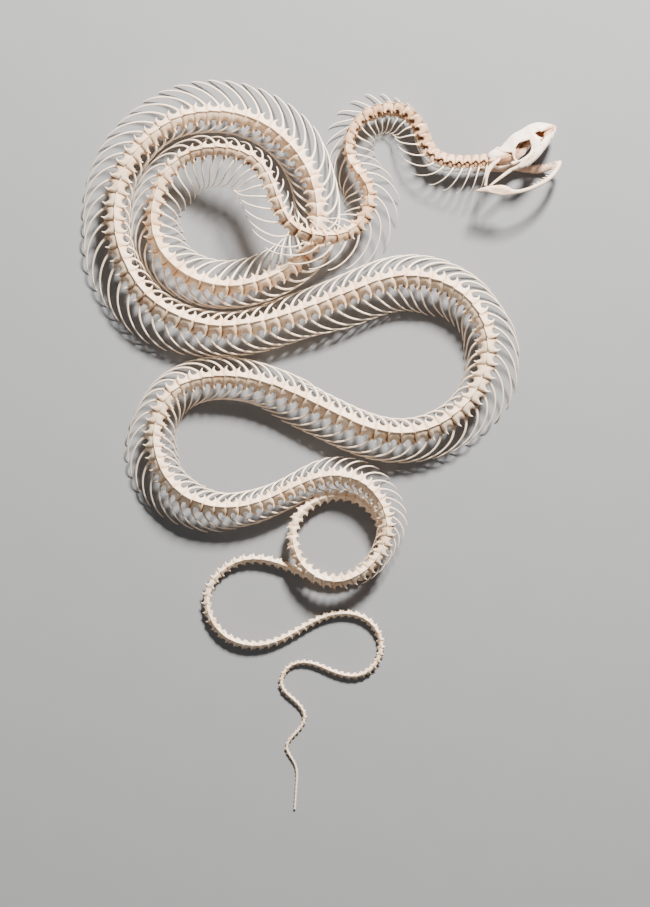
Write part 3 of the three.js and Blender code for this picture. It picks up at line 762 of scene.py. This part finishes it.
# %% Kinds of vertebra
def vertebra(r, crest, keel, spur, depth=0.0, voxel=0.015, triangles=2200):
    """Points, triangles, painted shade and dirt values and length of one kind of vertebra."""
    shapes = winged(r, crest, spur, depth) + middle(r, crest, keel, depth)
    pits = [((0.72 * r, side * 0.28, 0.0), 0.05, (0, -side * 0.06, -0.03)) for side in (-1, 1)]
    points, faces = melted(shapes, voxel, rounds=2, dents=pits, triangles=triangles)
    # Painted shade: how enclosed each point is among this bone and its two neighbours.
    shade_and_dirt_values = 0.1 + 0.62 * occlusion(points, faces, 0.3, shift=np.array([r, 0, 0]))
    beside = points * (1, 0, 1) + np.abs(points) * (0, 1, 0)
    # Painted shade at the knob, in the notch and before the roof, painted highlight on the spur and the
    # crest.
    shade_and_dirt_values = spotted(beside, shade_and_dirt_values, [
        ((0.36 * r, 0.39, -0.12), (0.22 * r, 0.08, 0.07), 0.34),
        ((0.72 * r, 0.26, -0.02), (0.17 * r, 0.05, 0.09), 0.8),
        ((0.14 * r, 0.24, 0.08), (0.14 * r, 0.16, 0.12), 0.14),
        ((1.05 * r, 0.44, 0.02), (0.2 * r, 0.1, 0.06), -0.2),
        ((0.6 * r, 0, 0.2 + crest), (0.7 * r, 0.06, 0.06), -0.14),
    ])
    return points, faces, shade_and_dirt_values, r


KINDS = {
    "nape": vertebra(0.66, crest=0.34, keel=0.14, spur=0.0, depth=0.3),
    "neck": vertebra(0.64, crest=0.26, keel=0.12, spur=0.04, depth=0.12),
    "trunk": vertebra(0.55, crest=0.2, keel=0.03, spur=0.09),
    "rear": vertebra(0.6, crest=0.18, keel=0.04, spur=0.09),
    "tail": vertebra(0.86, crest=0.16, keel=0.12, spur=0.12, voxel=0.02, triangles=1000),
    "tip": vertebra(1.2, crest=0.12, keel=0.08, spur=0.1, voxel=0.024, triangles=500),
}
print({kind: len(shape[1]) for kind, shape in KINDS.items()})

# %% [markdown]
# ## Threading the vertebrae
#
# Each bone goes from its own station to the next, turned by the roll of the body there. Blender
# could instance them on a curve, but the solids need one joined mesh for each length, and joining
# arrays costs nothing. Every bone is turned and toned by a hair of chance, as no two real ones
# are alike.

# %% Strings of vertebrae
KIND_ENDS = [(92, "nape"), (NECK_END, "neck"), (1240, "trunk"), (1480, "rear"), (1860, "tail"),
             (LENGTH, "tip")]
# Fat stained the neck most; the tail dried almost white.
TINT = [(0, 3.0), (60, 2.6), (120, 1.9), (200, 1.1), (500, 0.6), (1200, 0.5), (1500, 0.3), (2020, 0.2)]
TURN_CHANCE = 0.02
SIZE_CHANCE = 0.012
TONE_CHANCE = 0.3
LOWEST = 0.05
tint = eased(TINT)


def threaded(indices):
    """Points, triangles, painted shade and dirt values, and tone of the vertebrae with these indices."""
    shapes, shade_and_dirt_values, tones = [], [], []
    for i in indices:
        s = stations[i]
        p = float(pitch(s))
        w = float(width(s + p / 2))
        kind = next(kind for end, kind in KIND_ENDS if s < end)
        points, faces, hollow, ratio = KINDS[kind]
        at = bone_point(s)
        tailward = unit(bone_point(s + p) - at)
        across = axes(s + p / 2)[3]
        across = unit(across - tailward * (across @ tailward))
        back = unit(np.cross(tailward, across) + chance.normal(0, TURN_CHANCE) * across)
        across = np.cross(back, tailward)
        scale = np.array([p / ratio, w, w]) * (1 + chance.normal(0, SIZE_CHANCE, 3))
        local = points * scale
        placed = at + local[:, :1] * tailward + local[:, 1:2] * across + local[:, 2:] * back
        shapes.append((placed, faces))
        shade_and_dirt_values.append(hollow)
        tones.append(np.full(len(points), tint(s) + chance.normal(0, TONE_CHANCE)))
    points, faces = gathered(shapes)
    return points, faces, np.concatenate(shade_and_dirt_values), np.concatenate(tones)


total = 0
for name, indices in LENGTHS:
    points, faces, shade_and_dirt_values, tones = threaded(indices)
    points[:, 2] = np.maximum(points[:, 2], LOWEST)
    mesh = mesh_from(name + "_vertebrae", points * MM, faces, shade_and_dirt_values, tones)
    piece(name + "_vertebrae", mesh, vertebra_bone, "bone", name)
    total += len(faces)
print(total, "triangles of vertebrae")

# %% [markdown]
# ## Ribs
#
# A snake's rib hinges on the knob of its vertebra, arches out and down round the body and sweeps
# back to a fine tip that ends free. One cubic curve holds that shape: its root sits on the knob,
# its tip where the tables say, and the two handles in between lift the arch. The section is oval,
# swells into a head at the root and fades to a blunt point, which a plain bevelled curve could not
# do on both measures at once.

# %% Section and handles of a rib
FLANKS = [(1, eased(REACH_LEFT), eased(SWEEP_LEFT), eased(TIP_LEFT)),
          (-1, eased(REACH_RIGHT), eased(SWEEP_RIGHT), eased(TIP_RIGHT))]
# Share of the rib's length, then half its width and half its height there, in millimetres.
RIB_ROWS = [(0, 0.9, 0.8), (0.025, 0.95, 0.8), (0.06, 0.8, 0.66), (0.12, 0.68, 0.56), (0.2, 0.61, 0.5),
            (0.32, 0.55, 0.45), (0.44, 0.51, 0.42), (0.56, 0.47, 0.39), (0.67, 0.43, 0.36),
            (0.77, 0.39, 0.33), (0.86, 0.34, 0.3), (0.93, 0.29, 0.26), (0.98, 0.23, 0.2), (1.0, 0.12, 0.12)]
RIB_SIDES = 8
# The knob sits at this share of a vertebra's length, and this share of its width from the middle.
KNOB_ALONG = 0.3
KNOB_OUT = 0.38
# Share of a vertebra's width that the roots lie below its middle: low on the deep neck.
root_drop = eased([(0, 0.42), (60, 0.38), (130, 0.12)])
# Shares of the span by which the first handle goes out, tailward and, with the drop, down.
OUT, TAILWARD, DOWN = 0.34, 0.18, 0.9
# Share of the sweep, and of the fall, by which the last handle goes headward and up.
HEADWARD, UPWARD = 0.34, 0.42
HANDLE_LOWEST = 0.8


def rib_handles(s, flank):
    """The four control points of a rib at distance s."""
    side, reach, sweep, tip_height = flank
    start = s + KNOB_ALONG * pitch(s)
    _, tailward, _, across, back = axes(start)
    w = width(s)
    end = s + sweep(s)
    tip_at, tip_tailward, tip_left, _, _ = axes(end)
    drop = root_drop(s)
    root = bone_point(start) + side * (KNOB_OUT - 0.35 * drop) * w * across - drop * w * back
    last = tip_at + side * reach(end) * tip_left
    last[2] = tip_height(end)
    span = np.linalg.norm(root - last)
    out = root + side * OUT * span * across + TAILWARD * span * tailward - DOWN * drop * span * back
    turn = last - HEADWARD * sweep(s) * tip_tailward + UPWARD * max(root[2] - last[2], 0) * UP
    out[2] = max(out[2], HANDLE_LOWEST)
    turn[2] = max(turn[2], HANDLE_LOWEST)
    return root, out, turn, last


print("first rib starts at", [round(float(v), 1) for v in rib_handles(stations[0], FLANKS[0])[0]], "mm")

# %% Ribs
# The rows hold beside a vertebra of this width, and ribs grow or shrink with theirs so far.
THICK_AT = 13
THICK_RANGE = (0.62, 1.05)


def rib(s, flank):
    """Points, triangles and stored darkening of the rib at distance s."""
    p0, p1, p2, p3 = rib_handles(s, flank)
    rows = flowing(RIB_ROWS, 2)
    t = rows[:, :1]
    centre = ((1 - t) ** 3 * p0 + 3 * (1 - t) ** 2 * t * p1 + 3 * (1 - t) * t ** 2 * p2 + t ** 3 * p3)
    thick = np.clip(width(s) / THICK_AT, *THICK_RANGE)
    lift = np.maximum(rows[:, 2] * thick - centre[:, 2], 0)
    centre[:, 2] += lift
    shape = np.column_stack([centre, rows[:, 1] * thick, rows[:, 2] * thick])
    points, faces = lobe(shape, out=(0.01, 0.02, 1), sides=RIB_SIDES, steps=1)
    # Dark at the joint, and two values for the end points.
    hollow = np.append(np.repeat(0.34 * np.exp(-(rows[:, 0] / 0.06) ** 2), RIB_SIDES), [0.5, 0.2])
    return points, faces, hollow


total = 0
for name, indices in LENGTHS:
    ribbed = [i for i in indices if stations[i] < LAST_RIB]
    if not ribbed:
        continue
    ribs = [rib(stations[i], flank) for i in ribbed for flank in FLANKS]
    points, faces = gathered([(p, f) for p, f, _ in ribs])
    shade_and_dirt_values = np.concatenate([h for _, _, h in ribs])
    tones = np.concatenate([np.full(len(p), chance.normal(0, TONE_CHANCE)) for p, _, _ in ribs])
    mesh = mesh_from(name + "_ribs", points * MM, faces, shade_and_dirt_values, tones)
    piece(name + "_ribs", mesh, rib_bone, "bone")
    total += len(faces)
print(total, "triangles of ribs")

# %% [markdown]
# ## The skull's own frame
#
# A snake's skull is a chain of light struts round a firm braincase, and here it lies on its left
# side. Drawing it where it lies would mean tilted numbers everywhere, so it gets a frame of its
# own: f forward to the snout, d dorsal, and r to the skull's right, which faces up. One function
# turns finished bones into their place, and two more change the side of what the skull has twice.

# %% Frame of the skull
SKULL_AT = (104.4, 172.8, 9.95)
SKULL_TILT = math.radians(27)


def skull_placed(points):
    """Points (f, d, r) of the skull's frame in the frame of the whole skeleton."""
    f, d, r = points.T
    x = SKULL_AT[0] - PLAN_CENTRE[0] + f * math.cos(SKULL_TILT) - d * math.sin(SKULL_TILT)
    y = SKULL_AT[1] - PLAN_CENTRE[1] + f * math.sin(SKULL_TILT) + d * math.cos(SKULL_TILT)
    return np.stack([x, y, SKULL_AT[2] + r], -1)


print("skull joint at", [round(float(v), 1) for v in skull_placed(np.zeros((1, 3)))[0]], "mm")

# %% Left and right of the skull
def left_of(rows):
    """The same rows on the skull's left side."""
    return [(f, d, -r, *rest) for f, d, r, *rest in rows]


def paired(rows):
    """The lobe on the skull's right side and its mirror image on the left."""
    return both(lobe(rows), axis=2)


print("rows can change sides")

# %% [markdown]
# ## Teeth
#
# A snake's teeth are small hooks that point back to the throat, so that prey can only go in. They
# stand in a row along the edge of each jaw. A hook is a lobe along five points, and its foot is
# found on the edge of the jaw's own rows, which keeps teeth and jaw together.

# %% Teeth
# Share of a tooth's length and of its thickness there; the first row is inside the jaw.
TOOTH_ROWS = [(-0.25, 1.0), (0.15, 0.9), (0.5, 0.66), (0.8, 0.36), (1.0, 0.06)]
TOOTH_HOOK = np.array([-0.32, 0, 0])
TOOTH_LEAN = 0.75
FOOT_DEPTH = 0.86


def tooth(foot, lean, length, radius):
    """A curved, pointed tooth: it leaves the jaw along lean and bends towards the throat."""
    foot = np.array(foot, float)
    lean = unit(np.array(lean, float))
    rows = []
    for share, thick in TOOTH_ROWS:
        place = foot + lean * length * share + TOOTH_HOOK * length * max(share, 0) ** 2
        rows.append((*place, radius * thick, radius * thick))
    return lobe(rows, sides=8, steps=2)


def teeth_along(rows, count, first, last, side, length, radius=0.45):
    """Teeth on the lower (side -1) or upper (side 1) edge of a bone's rows."""
    rows = np.array(rows, float)
    made = []
    for share in np.linspace(first, last, count):
        x = share * (len(rows) - 1)
        i = min(int(x), len(rows) - 2)
        f, d, r, tall, _ = rows[i] + (x - i) * (rows[i + 1] - rows[i])
        along = unit((rows[i + 1] - rows[i])[:2])
        upright = np.array([-along[1], along[0]])
        upright = upright if upright[1] * side > 0 else -upright
        foot = (f + upright[0] * tall * FOOT_DEPTH, d + upright[1] * tall * FOOT_DEPTH, r)
        size = length * (0.82 + 0.18 * math.sin(share * 9)) * chance.uniform(0.9, 1.08)
        made.append(tooth(foot, (upright[0] - TOOTH_LEAN, upright[1], 0), size, radius))
    return made


print("a tooth has", len(tooth((0, 0, 0), (0, 1, 0), 1, 0.3)[1]), "triangles")

# %% One bone of the skull
SKULL_VOXEL = 0.2
SKULL_REACH = 5.0
TOOTH_SHADE_AND_DIRT = 0.02
SKULL_CHANCE = 0.15


def skull_piece(name, shapes, node, triangles, teeth=(), dents=(), painted_spots=(), tan=0.0):
    """One bone of the skull with its teeth; tan darkens the whole bone."""
    points, faces = melted(shapes, SKULL_VOXEL, rounds=3, dents=dents, triangles=triangles)
    # Painted shade where the skull's bone is enclosed, with the listed spots added.
    shade_and_dirt_values = spotted(points, 0.12 + 0.75 * occlusion(points, faces, SKULL_REACH, rays=20), painted_spots)
    if teeth:
        spikes, spike_faces = gathered(teeth)
        shade_and_dirt_values = np.append(shade_and_dirt_values, np.full(len(spikes), TOOTH_SHADE_AND_DIRT))
        points, faces = gathered([(points, faces), (spikes, spike_faces)])
    tone = np.full(len(points), tan + chance.normal(0, SKULL_CHANCE))
    mesh = mesh_from(name, skull_placed(points) * MM, faces, shade_and_dirt_values, tone)
    print(name, len(faces), "triangles")
    piece(name, mesh, skull_bone, "skull_bone", node)


print("skull bones are melted at", SKULL_VOXEL, "mm")

# %% [markdown]
# ## Braincase, roof and snout
#
# The firm middle of the skull: a tube round the brain, a roof that slopes to both sides and
# overhangs the eyes, a thin wall between the eyes, struts behind and in front of each eye, and a
# light snout with an open hollow on each side for the nose. The wall ends above a slot, so that
# light falls right through the skull under it. The roof halves are plates, given by their outer
# and inner edges, and everything is melted as one.

# %% Braincase and the wall between the eyes
braincase = [
    lobe([(-4.4, 0.2, 0, 2, 2.2), (-3, 0.4, 0, 3.5, 3.8), (0, -0.2, 0, 4.5, 5), (4, -1.7, 0, 5.3, 5.6),
          (8, -1.8, 0, 5.2, 5.2), (11.5, 0.6, 0, 4.4, 3.6), (14.5, 2.6, 0, 3.6, 2.6), (19, 3.6, 0, 3.4, 2.1),
          (24, 3.6, 0, 3.8, 2.3), (29, 2.6, 0, 4.2, 2.5), (33.5, 1.2, 0, 3.2, 2.2), (37, 0.5, 0, 2.3, 1.9),
          (39.6, 0.4, 0, 1.2, 1.3)]),
    lobe([(8, -3.4, 0, 3.6, 3.2), (12, -2.8, 0, 3.6, 2.2), (16, -1.8, 0, 3.5, 1.7), (20, -0.6, 0, 3.1, 1.6),
          (24, -0.2, 0, 3, 1.9)]),
    # Knob at the back of the roof, joint with the neck, floor of the braincase and its rod.
    lobe([(-3.8, 3.2, 0, 0.8, 0.9), (-2, 3.9, 0, 0.9, 1.2), (1, 4.3, 0, 0.9, 1.1), (3, 4.6, 0, 0.8, 0.9),
          (4.4, 3.6, 0, 0.5, 0.7)]),
    lobe([(-6, -1.2, 0, 0.8, 0.9), (-5, -1.2, 0, 1.5, 1.7), (-3, -1, 0, 1.8, 2)]),
    lobe([(-4.6, -3.8, 0, 1, 1.8), (-1, -6.2, 0, 1.5, 2.6), (3, -7.1, 0, 1.3, 2.4), (6.5, -7.2, 0, 1.1, 1.8),
          (9.5, -6.5, 0, 0.8, 1.2), (12.5, -5.9, 0, 0.7, 0.9), (15.5, -5.4, 0, 0.6, 0.7),
          (18.4, -3.7, 0, 0.6, 0.6), (21, -3.2, 0, 0.5, 0.5), (26, -3.2, 0, 0.6, 0.8), (31, -3, 0, 0.8, 1)]),
]
braincase += paired([(-5, -0.2, 2.6, 0.8, 0.8), (-3.4, -0.8, 4, 1.4, 1), (-1.4, -1.8, 5, 1.2, 0.8)])
print(len(braincase), "lobes in the braincase")

# %% Roof, its halves given by outer and inner edge
ROOF = [(2.8, 2.2, 3.4, 3.6, 0.3, 0.4, 0.5), (4.4, 0.9, 4.9, 4.2, 0, 0.55, 0.6),
        (6.8, -0.6, 5.8, 5.2, 0, 0.65, 0.7), (9.4, -1.9, 6.2, 6.2, 0, 0.7, 0.8),
        (12, -0.4, 6, 7.2, 0, 0.7, 0.8), (15.2, 1.3, 5.5, 8, 0, 0.7, 0.7),
        (19.3, 0.8, 5.4, 8.1, 0, 0.7, 0.6), (22, 0.4, 5.4, 8.2, 0, 0.75, 0.6),
        (25, 1.9, 5, 8.5, 0, 0.75, 0.6), (28, 2.3, 4.4, 8.3, 0, 0.75, 0.6),
        (31, 1.8, 3.9, 7.6, 0, 0.7, 0.6), (34, 1.4, 3.2, 5.9, 0, 0.65, 0.5),
        (36.5, 1.1, 2.4, 3.9, 0, 0.6, 0.4), (38.8, 0.7, 1.5, 2, 0, 0.5, 0.2)]
roof = both(plate(ROOF), axis=2)
roof += paired([(30, 1.9, 4, 0.7, 0.6), (33, 1.3, 3.6, 0.8, 0.7), (36, 1, 2.7, 0.8, 0.7),
                (39, 0.7, 1.5, 0.7, 0.7)])
print(len(roof), "shapes in the roof")

# %% Struts round the eye and at the back of the head
struts = paired([(11.4, -0.6, 5.7, 1, 0.6), (9.6, -2.8, 6, 0.95, 0.6), (8.8, -5, 6.2, 0.8, 0.6),
                 (8.8, -7.4, 6.4, 0.75, 0.6), (9.3, -8.8, 6.6, 0.8, 0.6)])
struts += paired([(5.3, -7.5, 6, 0.5, 0.5), (6.6, -7.8, 6.3, 1.15, 1), (8.3, -8.2, 6.5, 0.7, 0.6)])
struts += paired([(24.6, 2.6, 4.6, 1.6, 0.8), (24.7, 0.4, 5.2, 2.7, 0.8), (24.5, -2, 5.8, 3.1, 0.8),
                  (24, -4.4, 6.2, 2.9, 0.8), (23.1, -6.6, 6.5, 2.6, 0.8), (22, -8.2, 6.6, 1.8, 0.6)])
struts += paired([(24.8, -0.4, 5.2, 0.9, 0.8), (26.2, -0.9, 5.2, 1.1, 0.9), (27.8, -2, 5, 1, 0.8),
                  (28.8, -2.8, 4.8, 0.6, 0.6)])
struts += paired([(1.2, -1.7, 5.7, 0.6, 0.6), (-0.2, -2.1, 6.4, 1, 0.7), (-2, -2.7, 7, 1.1, 0.6),
                  (-3.4, -3.1, 7.2, 0.6, 0.5)])
print(len(struts), "struts")

# %% Snout and the scroll bones of the nose
snout = [lobe([(35, -0.6, 0, 2.5, 2.4), (38.2, 0, 0, 1.9, 2.2), (40, 0.5, 0, 0.9, 1.4)])]
snout += paired([(39.2, 0.2, 1.5, 0.8, 0.7), (38.3, -1.4, 2.2, 0.7, 0.6), (37, -2.6, 2.8, 0.6, 0.5)])
snout += paired([(30.6, -1.4, 2.7, 0.7, 0.6), (32.4, -0.8, 2.9, 1.1, 0.8), (34.6, -0.5, 2.6, 1.2, 0.8),
                 (36.6, -0.4, 2.2, 0.8, 0.6)])
snout += paired([(27, -4.4, 2.4, 0.9, 1.1), (31, -3.2, 2.5, 1.3, 1.2), (35, -2.2, 2.1, 1.2, 1)])
snout += paired([(30, -2.6, 3.4, 0.5, 0.5), (32.6, -1.6, 3.4, 0.6, 0.5), (35.2, -1.2, 3, 0.5, 0.5)])
print(len(snout), "lobes in the snout")

# %% Dents, painted shade and the finished braincase
cranium_dents = [
    ((15.8, -1, 2), 0.6, (0, 0, -1.5)), ((12.2, -3.2, 2.8), 0.4, (0, 0, -0.6)),
    ((3, -4, 6), 0.6, (0, 0, -0.8)), ((6, -5.2, 5.4), 0.5, (0, 0, -0.7)),
    ((27, 0.8, 3), 1.5, (0, 0, -0.8)), ((29.6, -1.6, 2.6), 1, (0, 0, -0.8)),
    ((-1.4, -2.2, 5.4), 0.6, (0, 0, -0.5)), ((13, -4.8, 2.4), 0.5, (0, 0, -0.5)),
]
# Painted shade over the snout and in its nose hollows, in the eye and its nerve hole, and on the braincase's
# side; one spot low behind the eye is painted lighter.
cranium_shade_spots = [
    ((27.4, 0.8, 3), (3.2, 1.5, 1.8), 0.75), ((29.4, -1.4, 3), (1.4, 1.5, 1.6), 0.8),
    ((25.2, 2, 3.6), (1.4, 0.7, 1.2), 0.5), ((34.5, 1.2, 3), (4.4, 1.1, 2), 0.5),
    ((32.6, -1, 2.8), (4.2, 1.8, 1.7), 0.42),
    ((28.8, 4.2, 4.2), (1.6, 0.9, 1.2), 0.22), ((39.4, 0.8, 0.6), (2.8, 2.2, 2.6), 0.42),
    ((15.8, -1, 2), (0.75, 0.75, 1.4), 1), ((12.6, -2.2, 2.6), (3.4, 4.4, 1.8), 0.45),
    ((18, -0.6, 1.8), (3, 2.6, 1.3), 0.34), ((4.6, -4.4, 5.2), (5.6, 4, 2), 0.52),
    ((-2.4, -1.8, 4.4), (2.6, 2.6, 2), 0.3), ((6.6, -7.8, 6.6), (1.2, 1.2, 1.2), -0.2),
]
skull_piece("cranium_bone", braincase + roof + struts + snout, "cranium", 36000,
            dents=cranium_dents, painted_spots=cranium_shade_spots)

# %% [markdown]
# ## Upper jaws
#
# Each upper jaw is a band that curves back from the snout under the eye, closes the eye's ring from
# below and carries a row of short hooked teeth. Behind it a flat splint reaches in to the palate.

# %% Upper jaws
MAXILLA = [(37, -2.2, 2.8, 0.8, 0.6), (34.6, -3, 3.9, 1.5, 0.8), (31.4, -4.3, 5.1, 1.9, 0.9),
           (28.4, -5.9, 6, 2.1, 0.9), (25, -7.4, 6.5, 2.4, 0.9), (22, -8.6, 6.9, 2.6, 0.9),
           (19, -9.6, 7.1, 2.6, 0.9), (16, -10.4, 7.2, 2.4, 0.9), (12.5, -11, 7.2, 2.1, 0.85),
           (10, -11.2, 7, 1.5, 0.7), (8.6, -11, 6.8, 0.8, 0.5)]
EYE_SILL = [(21.6, -4.2, 6.2, 0.8, 0.6), (20.8, -5.8, 6.4, 0.8, 0.65), (17.8, -7.7, 6.6, 0.75, 0.65),
            (14.4, -8.3, 6.7, 0.7, 0.6), (10.8, -8.5, 6.7, 0.65, 0.55), (9.2, -7.8, 6.6, 0.6, 0.5)]
SPLINT = [(13, -11.8, 7, 0.9, 0.5), (10, -11.7, 6.8, 1.1, 0.5), (7.4, -11, 6.2, 1, 0.5),
          (4.4, -10.8, 5.5, 0.8, 0.5)]


# Where nerves leave the bone: places on its outer face.
NERVE_HOLES = [(18.6, -9.3), (16.1, -9.8), (20.6, -8), (26.4, -5.6)]
OUTER_FACE = 7.5
LEFT_CLOSER = 0.78


def upper_jaw(side, node):
    """Side 1 is the skull's right, -1 its left; the left bones sit a little closer in."""
    reach = side * (1 if side > 0 else LEFT_CLOSER)
    band, sill, splint = ([(f, d, reach * r, *half) for f, d, r, *half in rows]
                          for rows in (MAXILLA, EYE_SILL, SPLINT))
    fangs = teeth_along(band, 13, 0.05, 0.76, -1, length=1.5)
    face = reach * OUTER_FACE
    holes = [((f, d, face), 0.3, (0, 0, -0.6 * side)) for f, d in NERVE_HOLES]
    # Painted shade in the nerve holes; two broad, faint spots darken the middle of the jaw and its front
    # end.
    spots = [(place, (0.4, 0.4, 1.6), 0.9) for place, _, _ in holes]
    spots += [((15, -9.9, face), (4.6, 1.1, 2), 0.2), ((35, -2.6, 0.5 * face), (4, 3, 2.4), 0.26)]
    skull_piece(node + "_bone", [lobe(band), lobe(sill), lobe(splint)], node, 8000, teeth=fangs,
                dents=holes, painted_spots=spots)


upper_jaw(1, "maxilla_right")
upper_jaw(-1, "maxilla_left")

# %% [markdown]
# ## Palate bars, hinge bones and lower jaws
#
# Inside the upper jaws lie two more toothed bars, which run back as flat blades to the hinge of
# the lower jaw. The hinge bone hangs from the back of the head: broad above, a slim post below.
# Each lower jaw has a tall ridge behind for the biting muscle, a long groove in it, a slim toothed
# front, and a tip that is only tied to the other one, which is why the left half can stand less
# open than the right.

# %% Palate bars
PALATE = [(30, -6.2, 1.6, 0.7, 0.6), (25, -8.2, 2, 0.8, 0.7), (20, -9.9, 2.6, 0.9, 0.8),
          (14, -10.9, 3.3, 0.9, 0.8), (9, -10.5, 4.2, 1, 0.7), (3, -11, 5.2, 1.05, 0.5),
          (-3.4, -12, 6.1, 0.95, 0.5), (-8, -12.9, 6.9, 0.75, 0.45), (-12, -13.6, 7.5, 0.45, 0.4)]
skull_piece("palate_right_bone", [lobe(PALATE)], "palate_right", 3500, tan=0.9,
            teeth=teeth_along(PALATE, 10, 0.04, 0.5, -1, length=1.3, radius=0.32))
far_palate = left_of(PALATE)
far_palate[5:] = [(3.6, -9.7, -4.9, 1.1, 0.6), (-0.6, -8.2, -5.7, 1, 0.55), (-4.6, -6.2, -6.4, 0.8, 0.5),
                  (-8, -4.2, -7, 0.6, 0.5)]
skull_piece("palate_left_bone", [lobe(far_palate)], "palate_left", 3500, tan=1.4,
            teeth=teeth_along(far_palate, 10, 0.04, 0.5, -1, length=1.3, radius=0.32))

# %% Hinge bones
HINGE = [(-1, -2.5, 7.1, 0.9, 0.5), (-3.6, -2.9, 7.6, 1.2, 0.6), (-6.4, -3.8, 8.1, 1.45, 0.65),
         (-8.8, -5.3, 8.4, 1.3, 0.7), (-10.6, -7.2, 8.7, 1, 0.7), (-12.2, -9.4, 8.9, 0.75, 0.65),
         (-13.7, -11.5, 8.9, 0.8, 0.8), (-14.4, -12.4, 8.9, 1.05, 1)]
FAR_HINGE = [(-1.4, -1.4, -6.4, 1.1, 0.5), (-3.4, 0.4, -6.8, 1.4, 0.6), (-5.6, 1.2, -7.1, 1.3, 0.7),
             (-7.6, 3, -7.8, 0.95, 0.7), (-9, 3.4, -8.2, 0.8, 0.7), (-10.2, 2.7, -8.6, 0.9, 0.9)]
skull_piece("quadrate_right_bone", [lobe(HINGE)], "quadrate_right", 3500, tan=0.6)
skull_piece("quadrate_left_bone", [lobe(FAR_HINGE)], "quadrate_left", 2500, tan=1.2)

# %% Lower jaws
NEAR_JAW = [(-20.5, -12.6, 8, 0.5, 0.45), (-17.4, -13.8, 8.4, 1.3, 0.8), (-14.4, -14.9, 8.8, 1.9, 1.15),
            (-10.5, -17.1, 8.9, 2.7, 0.9), (-7, -19.2, 9, 3.15, 0.75), (-4.4, -20.9, 9, 2.7, 0.7),
            (-2.4, -22.6, 8.9, 1.85, 0.75), (0.4, -24.1, 8.7, 1.3, 0.85), (3.5, -25.1, 8.4, 1.15, 0.9),
            (8, -26, 8, 1.15, 0.95), (13, -26.4, 7.2, 1.2, 0.95), (18, -26.3, 6.3, 1.25, 0.95),
            (22.5, -25.5, 5, 1.3, 0.95), (26.5, -24, 3.6, 1.3, 0.9), (29.6, -22.3, 2.4, 1.3, 0.85),
            (31.8, -20.5, 1.3, 1.25, 0.75), (32.8, -19.1, 0.8, 0.75, 0.5)]
FAR_JAW = [(-14.5, 0.6, -8, 0.5, 0.5), (-9.5, -0.8, -8.8, 1.6, 1), (-4, -3.2, -8.9, 2, 0.9),
           (4, -7.4, -8.9, 2.1, 0.85), (11, -12.6, -8.9, 2.3, 0.85), (17.5, -16.7, -8.4, 2.6, 0.95),
           (22.4, -18.7, -6.9, 2.2, 0.95), (28.5, -20.2, -4, 1.5, 0.9), (31.8, -20.5, -1.9, 1.3, 0.75),
           (32.9, -20.2, -1.1, 0.8, 0.5)]
# Two rows of small dents, side by side along the ridge.
grooves = [((-13 + 0.6 * k, -15.2 + offset - 0.44 * k, 9.9), 0.5, (0, 0, -0.24))
           for k in range(17) for offset in (0, -1.3)]
# Faint painted shade in the grooves.
groove_shade = [(place, (0.7, 0.35, 1.2), 0.09) for place, _, _ in grooves]
skull_piece("mandible_right_bone", [lobe(NEAR_JAW)], "mandible_right", 10000,
            teeth=teeth_along(NEAR_JAW, 11, 0.62, 0.95, 1, length=2.0), dents=grooves,
            painted_spots=groove_shade, tan=1.0)
skull_piece("mandible_left_bone", [lobe(FAR_JAW)], "mandible_left", 8000, tan=1.4,
            teeth=teeth_along(FAR_JAW, 9, 0.58, 0.92, 1, length=1.8))

# %% [markdown]
# ## Floor
#
# A museum plate under the skeleton, here a plain pale sheet. It is a stage piece, not part of the
# object.

# %% Floor
FLOOR_HALF = 3.0
FLOOR_GREYS = rgb(0.225, 0.243, 0.27), rgb(0.24, 0.258, 0.285)


def floor_paper():
    """Matt pale grey, a touch cool against the warm lamp, with faint clouds."""
    material, start, surface = finish_of("floor_paper")
    place = start.node("TexCoord", output=3)
    mottle = start.node("TexNoise", Vector=place, Scale=40.0, Detail=3.0)
    start.plug(surface.inputs["Base Color"], mottle.mix(*FLOOR_GREYS))
    surface.inputs["Roughness"].default_value = 0.9
    return material


def floor():
    corners = [(x * FLOOR_HALF, y * FLOOR_HALF, 0) for x, y in ((-1, -1), (1, -1), (1, 1), (-1, 1))]
    mesh = bpy.data.meshes.new("floor")
    mesh.from_pydata(corners, [], [(0, 1, 2, 3)])
    mesh.materials.append(floor_paper())
    made = bpy.data.objects.new("floor", mesh)
    bpy.context.scene.collection.objects.link(made)


floor()
print("floor laid,", 2 * FLOOR_HALF, "m wide")
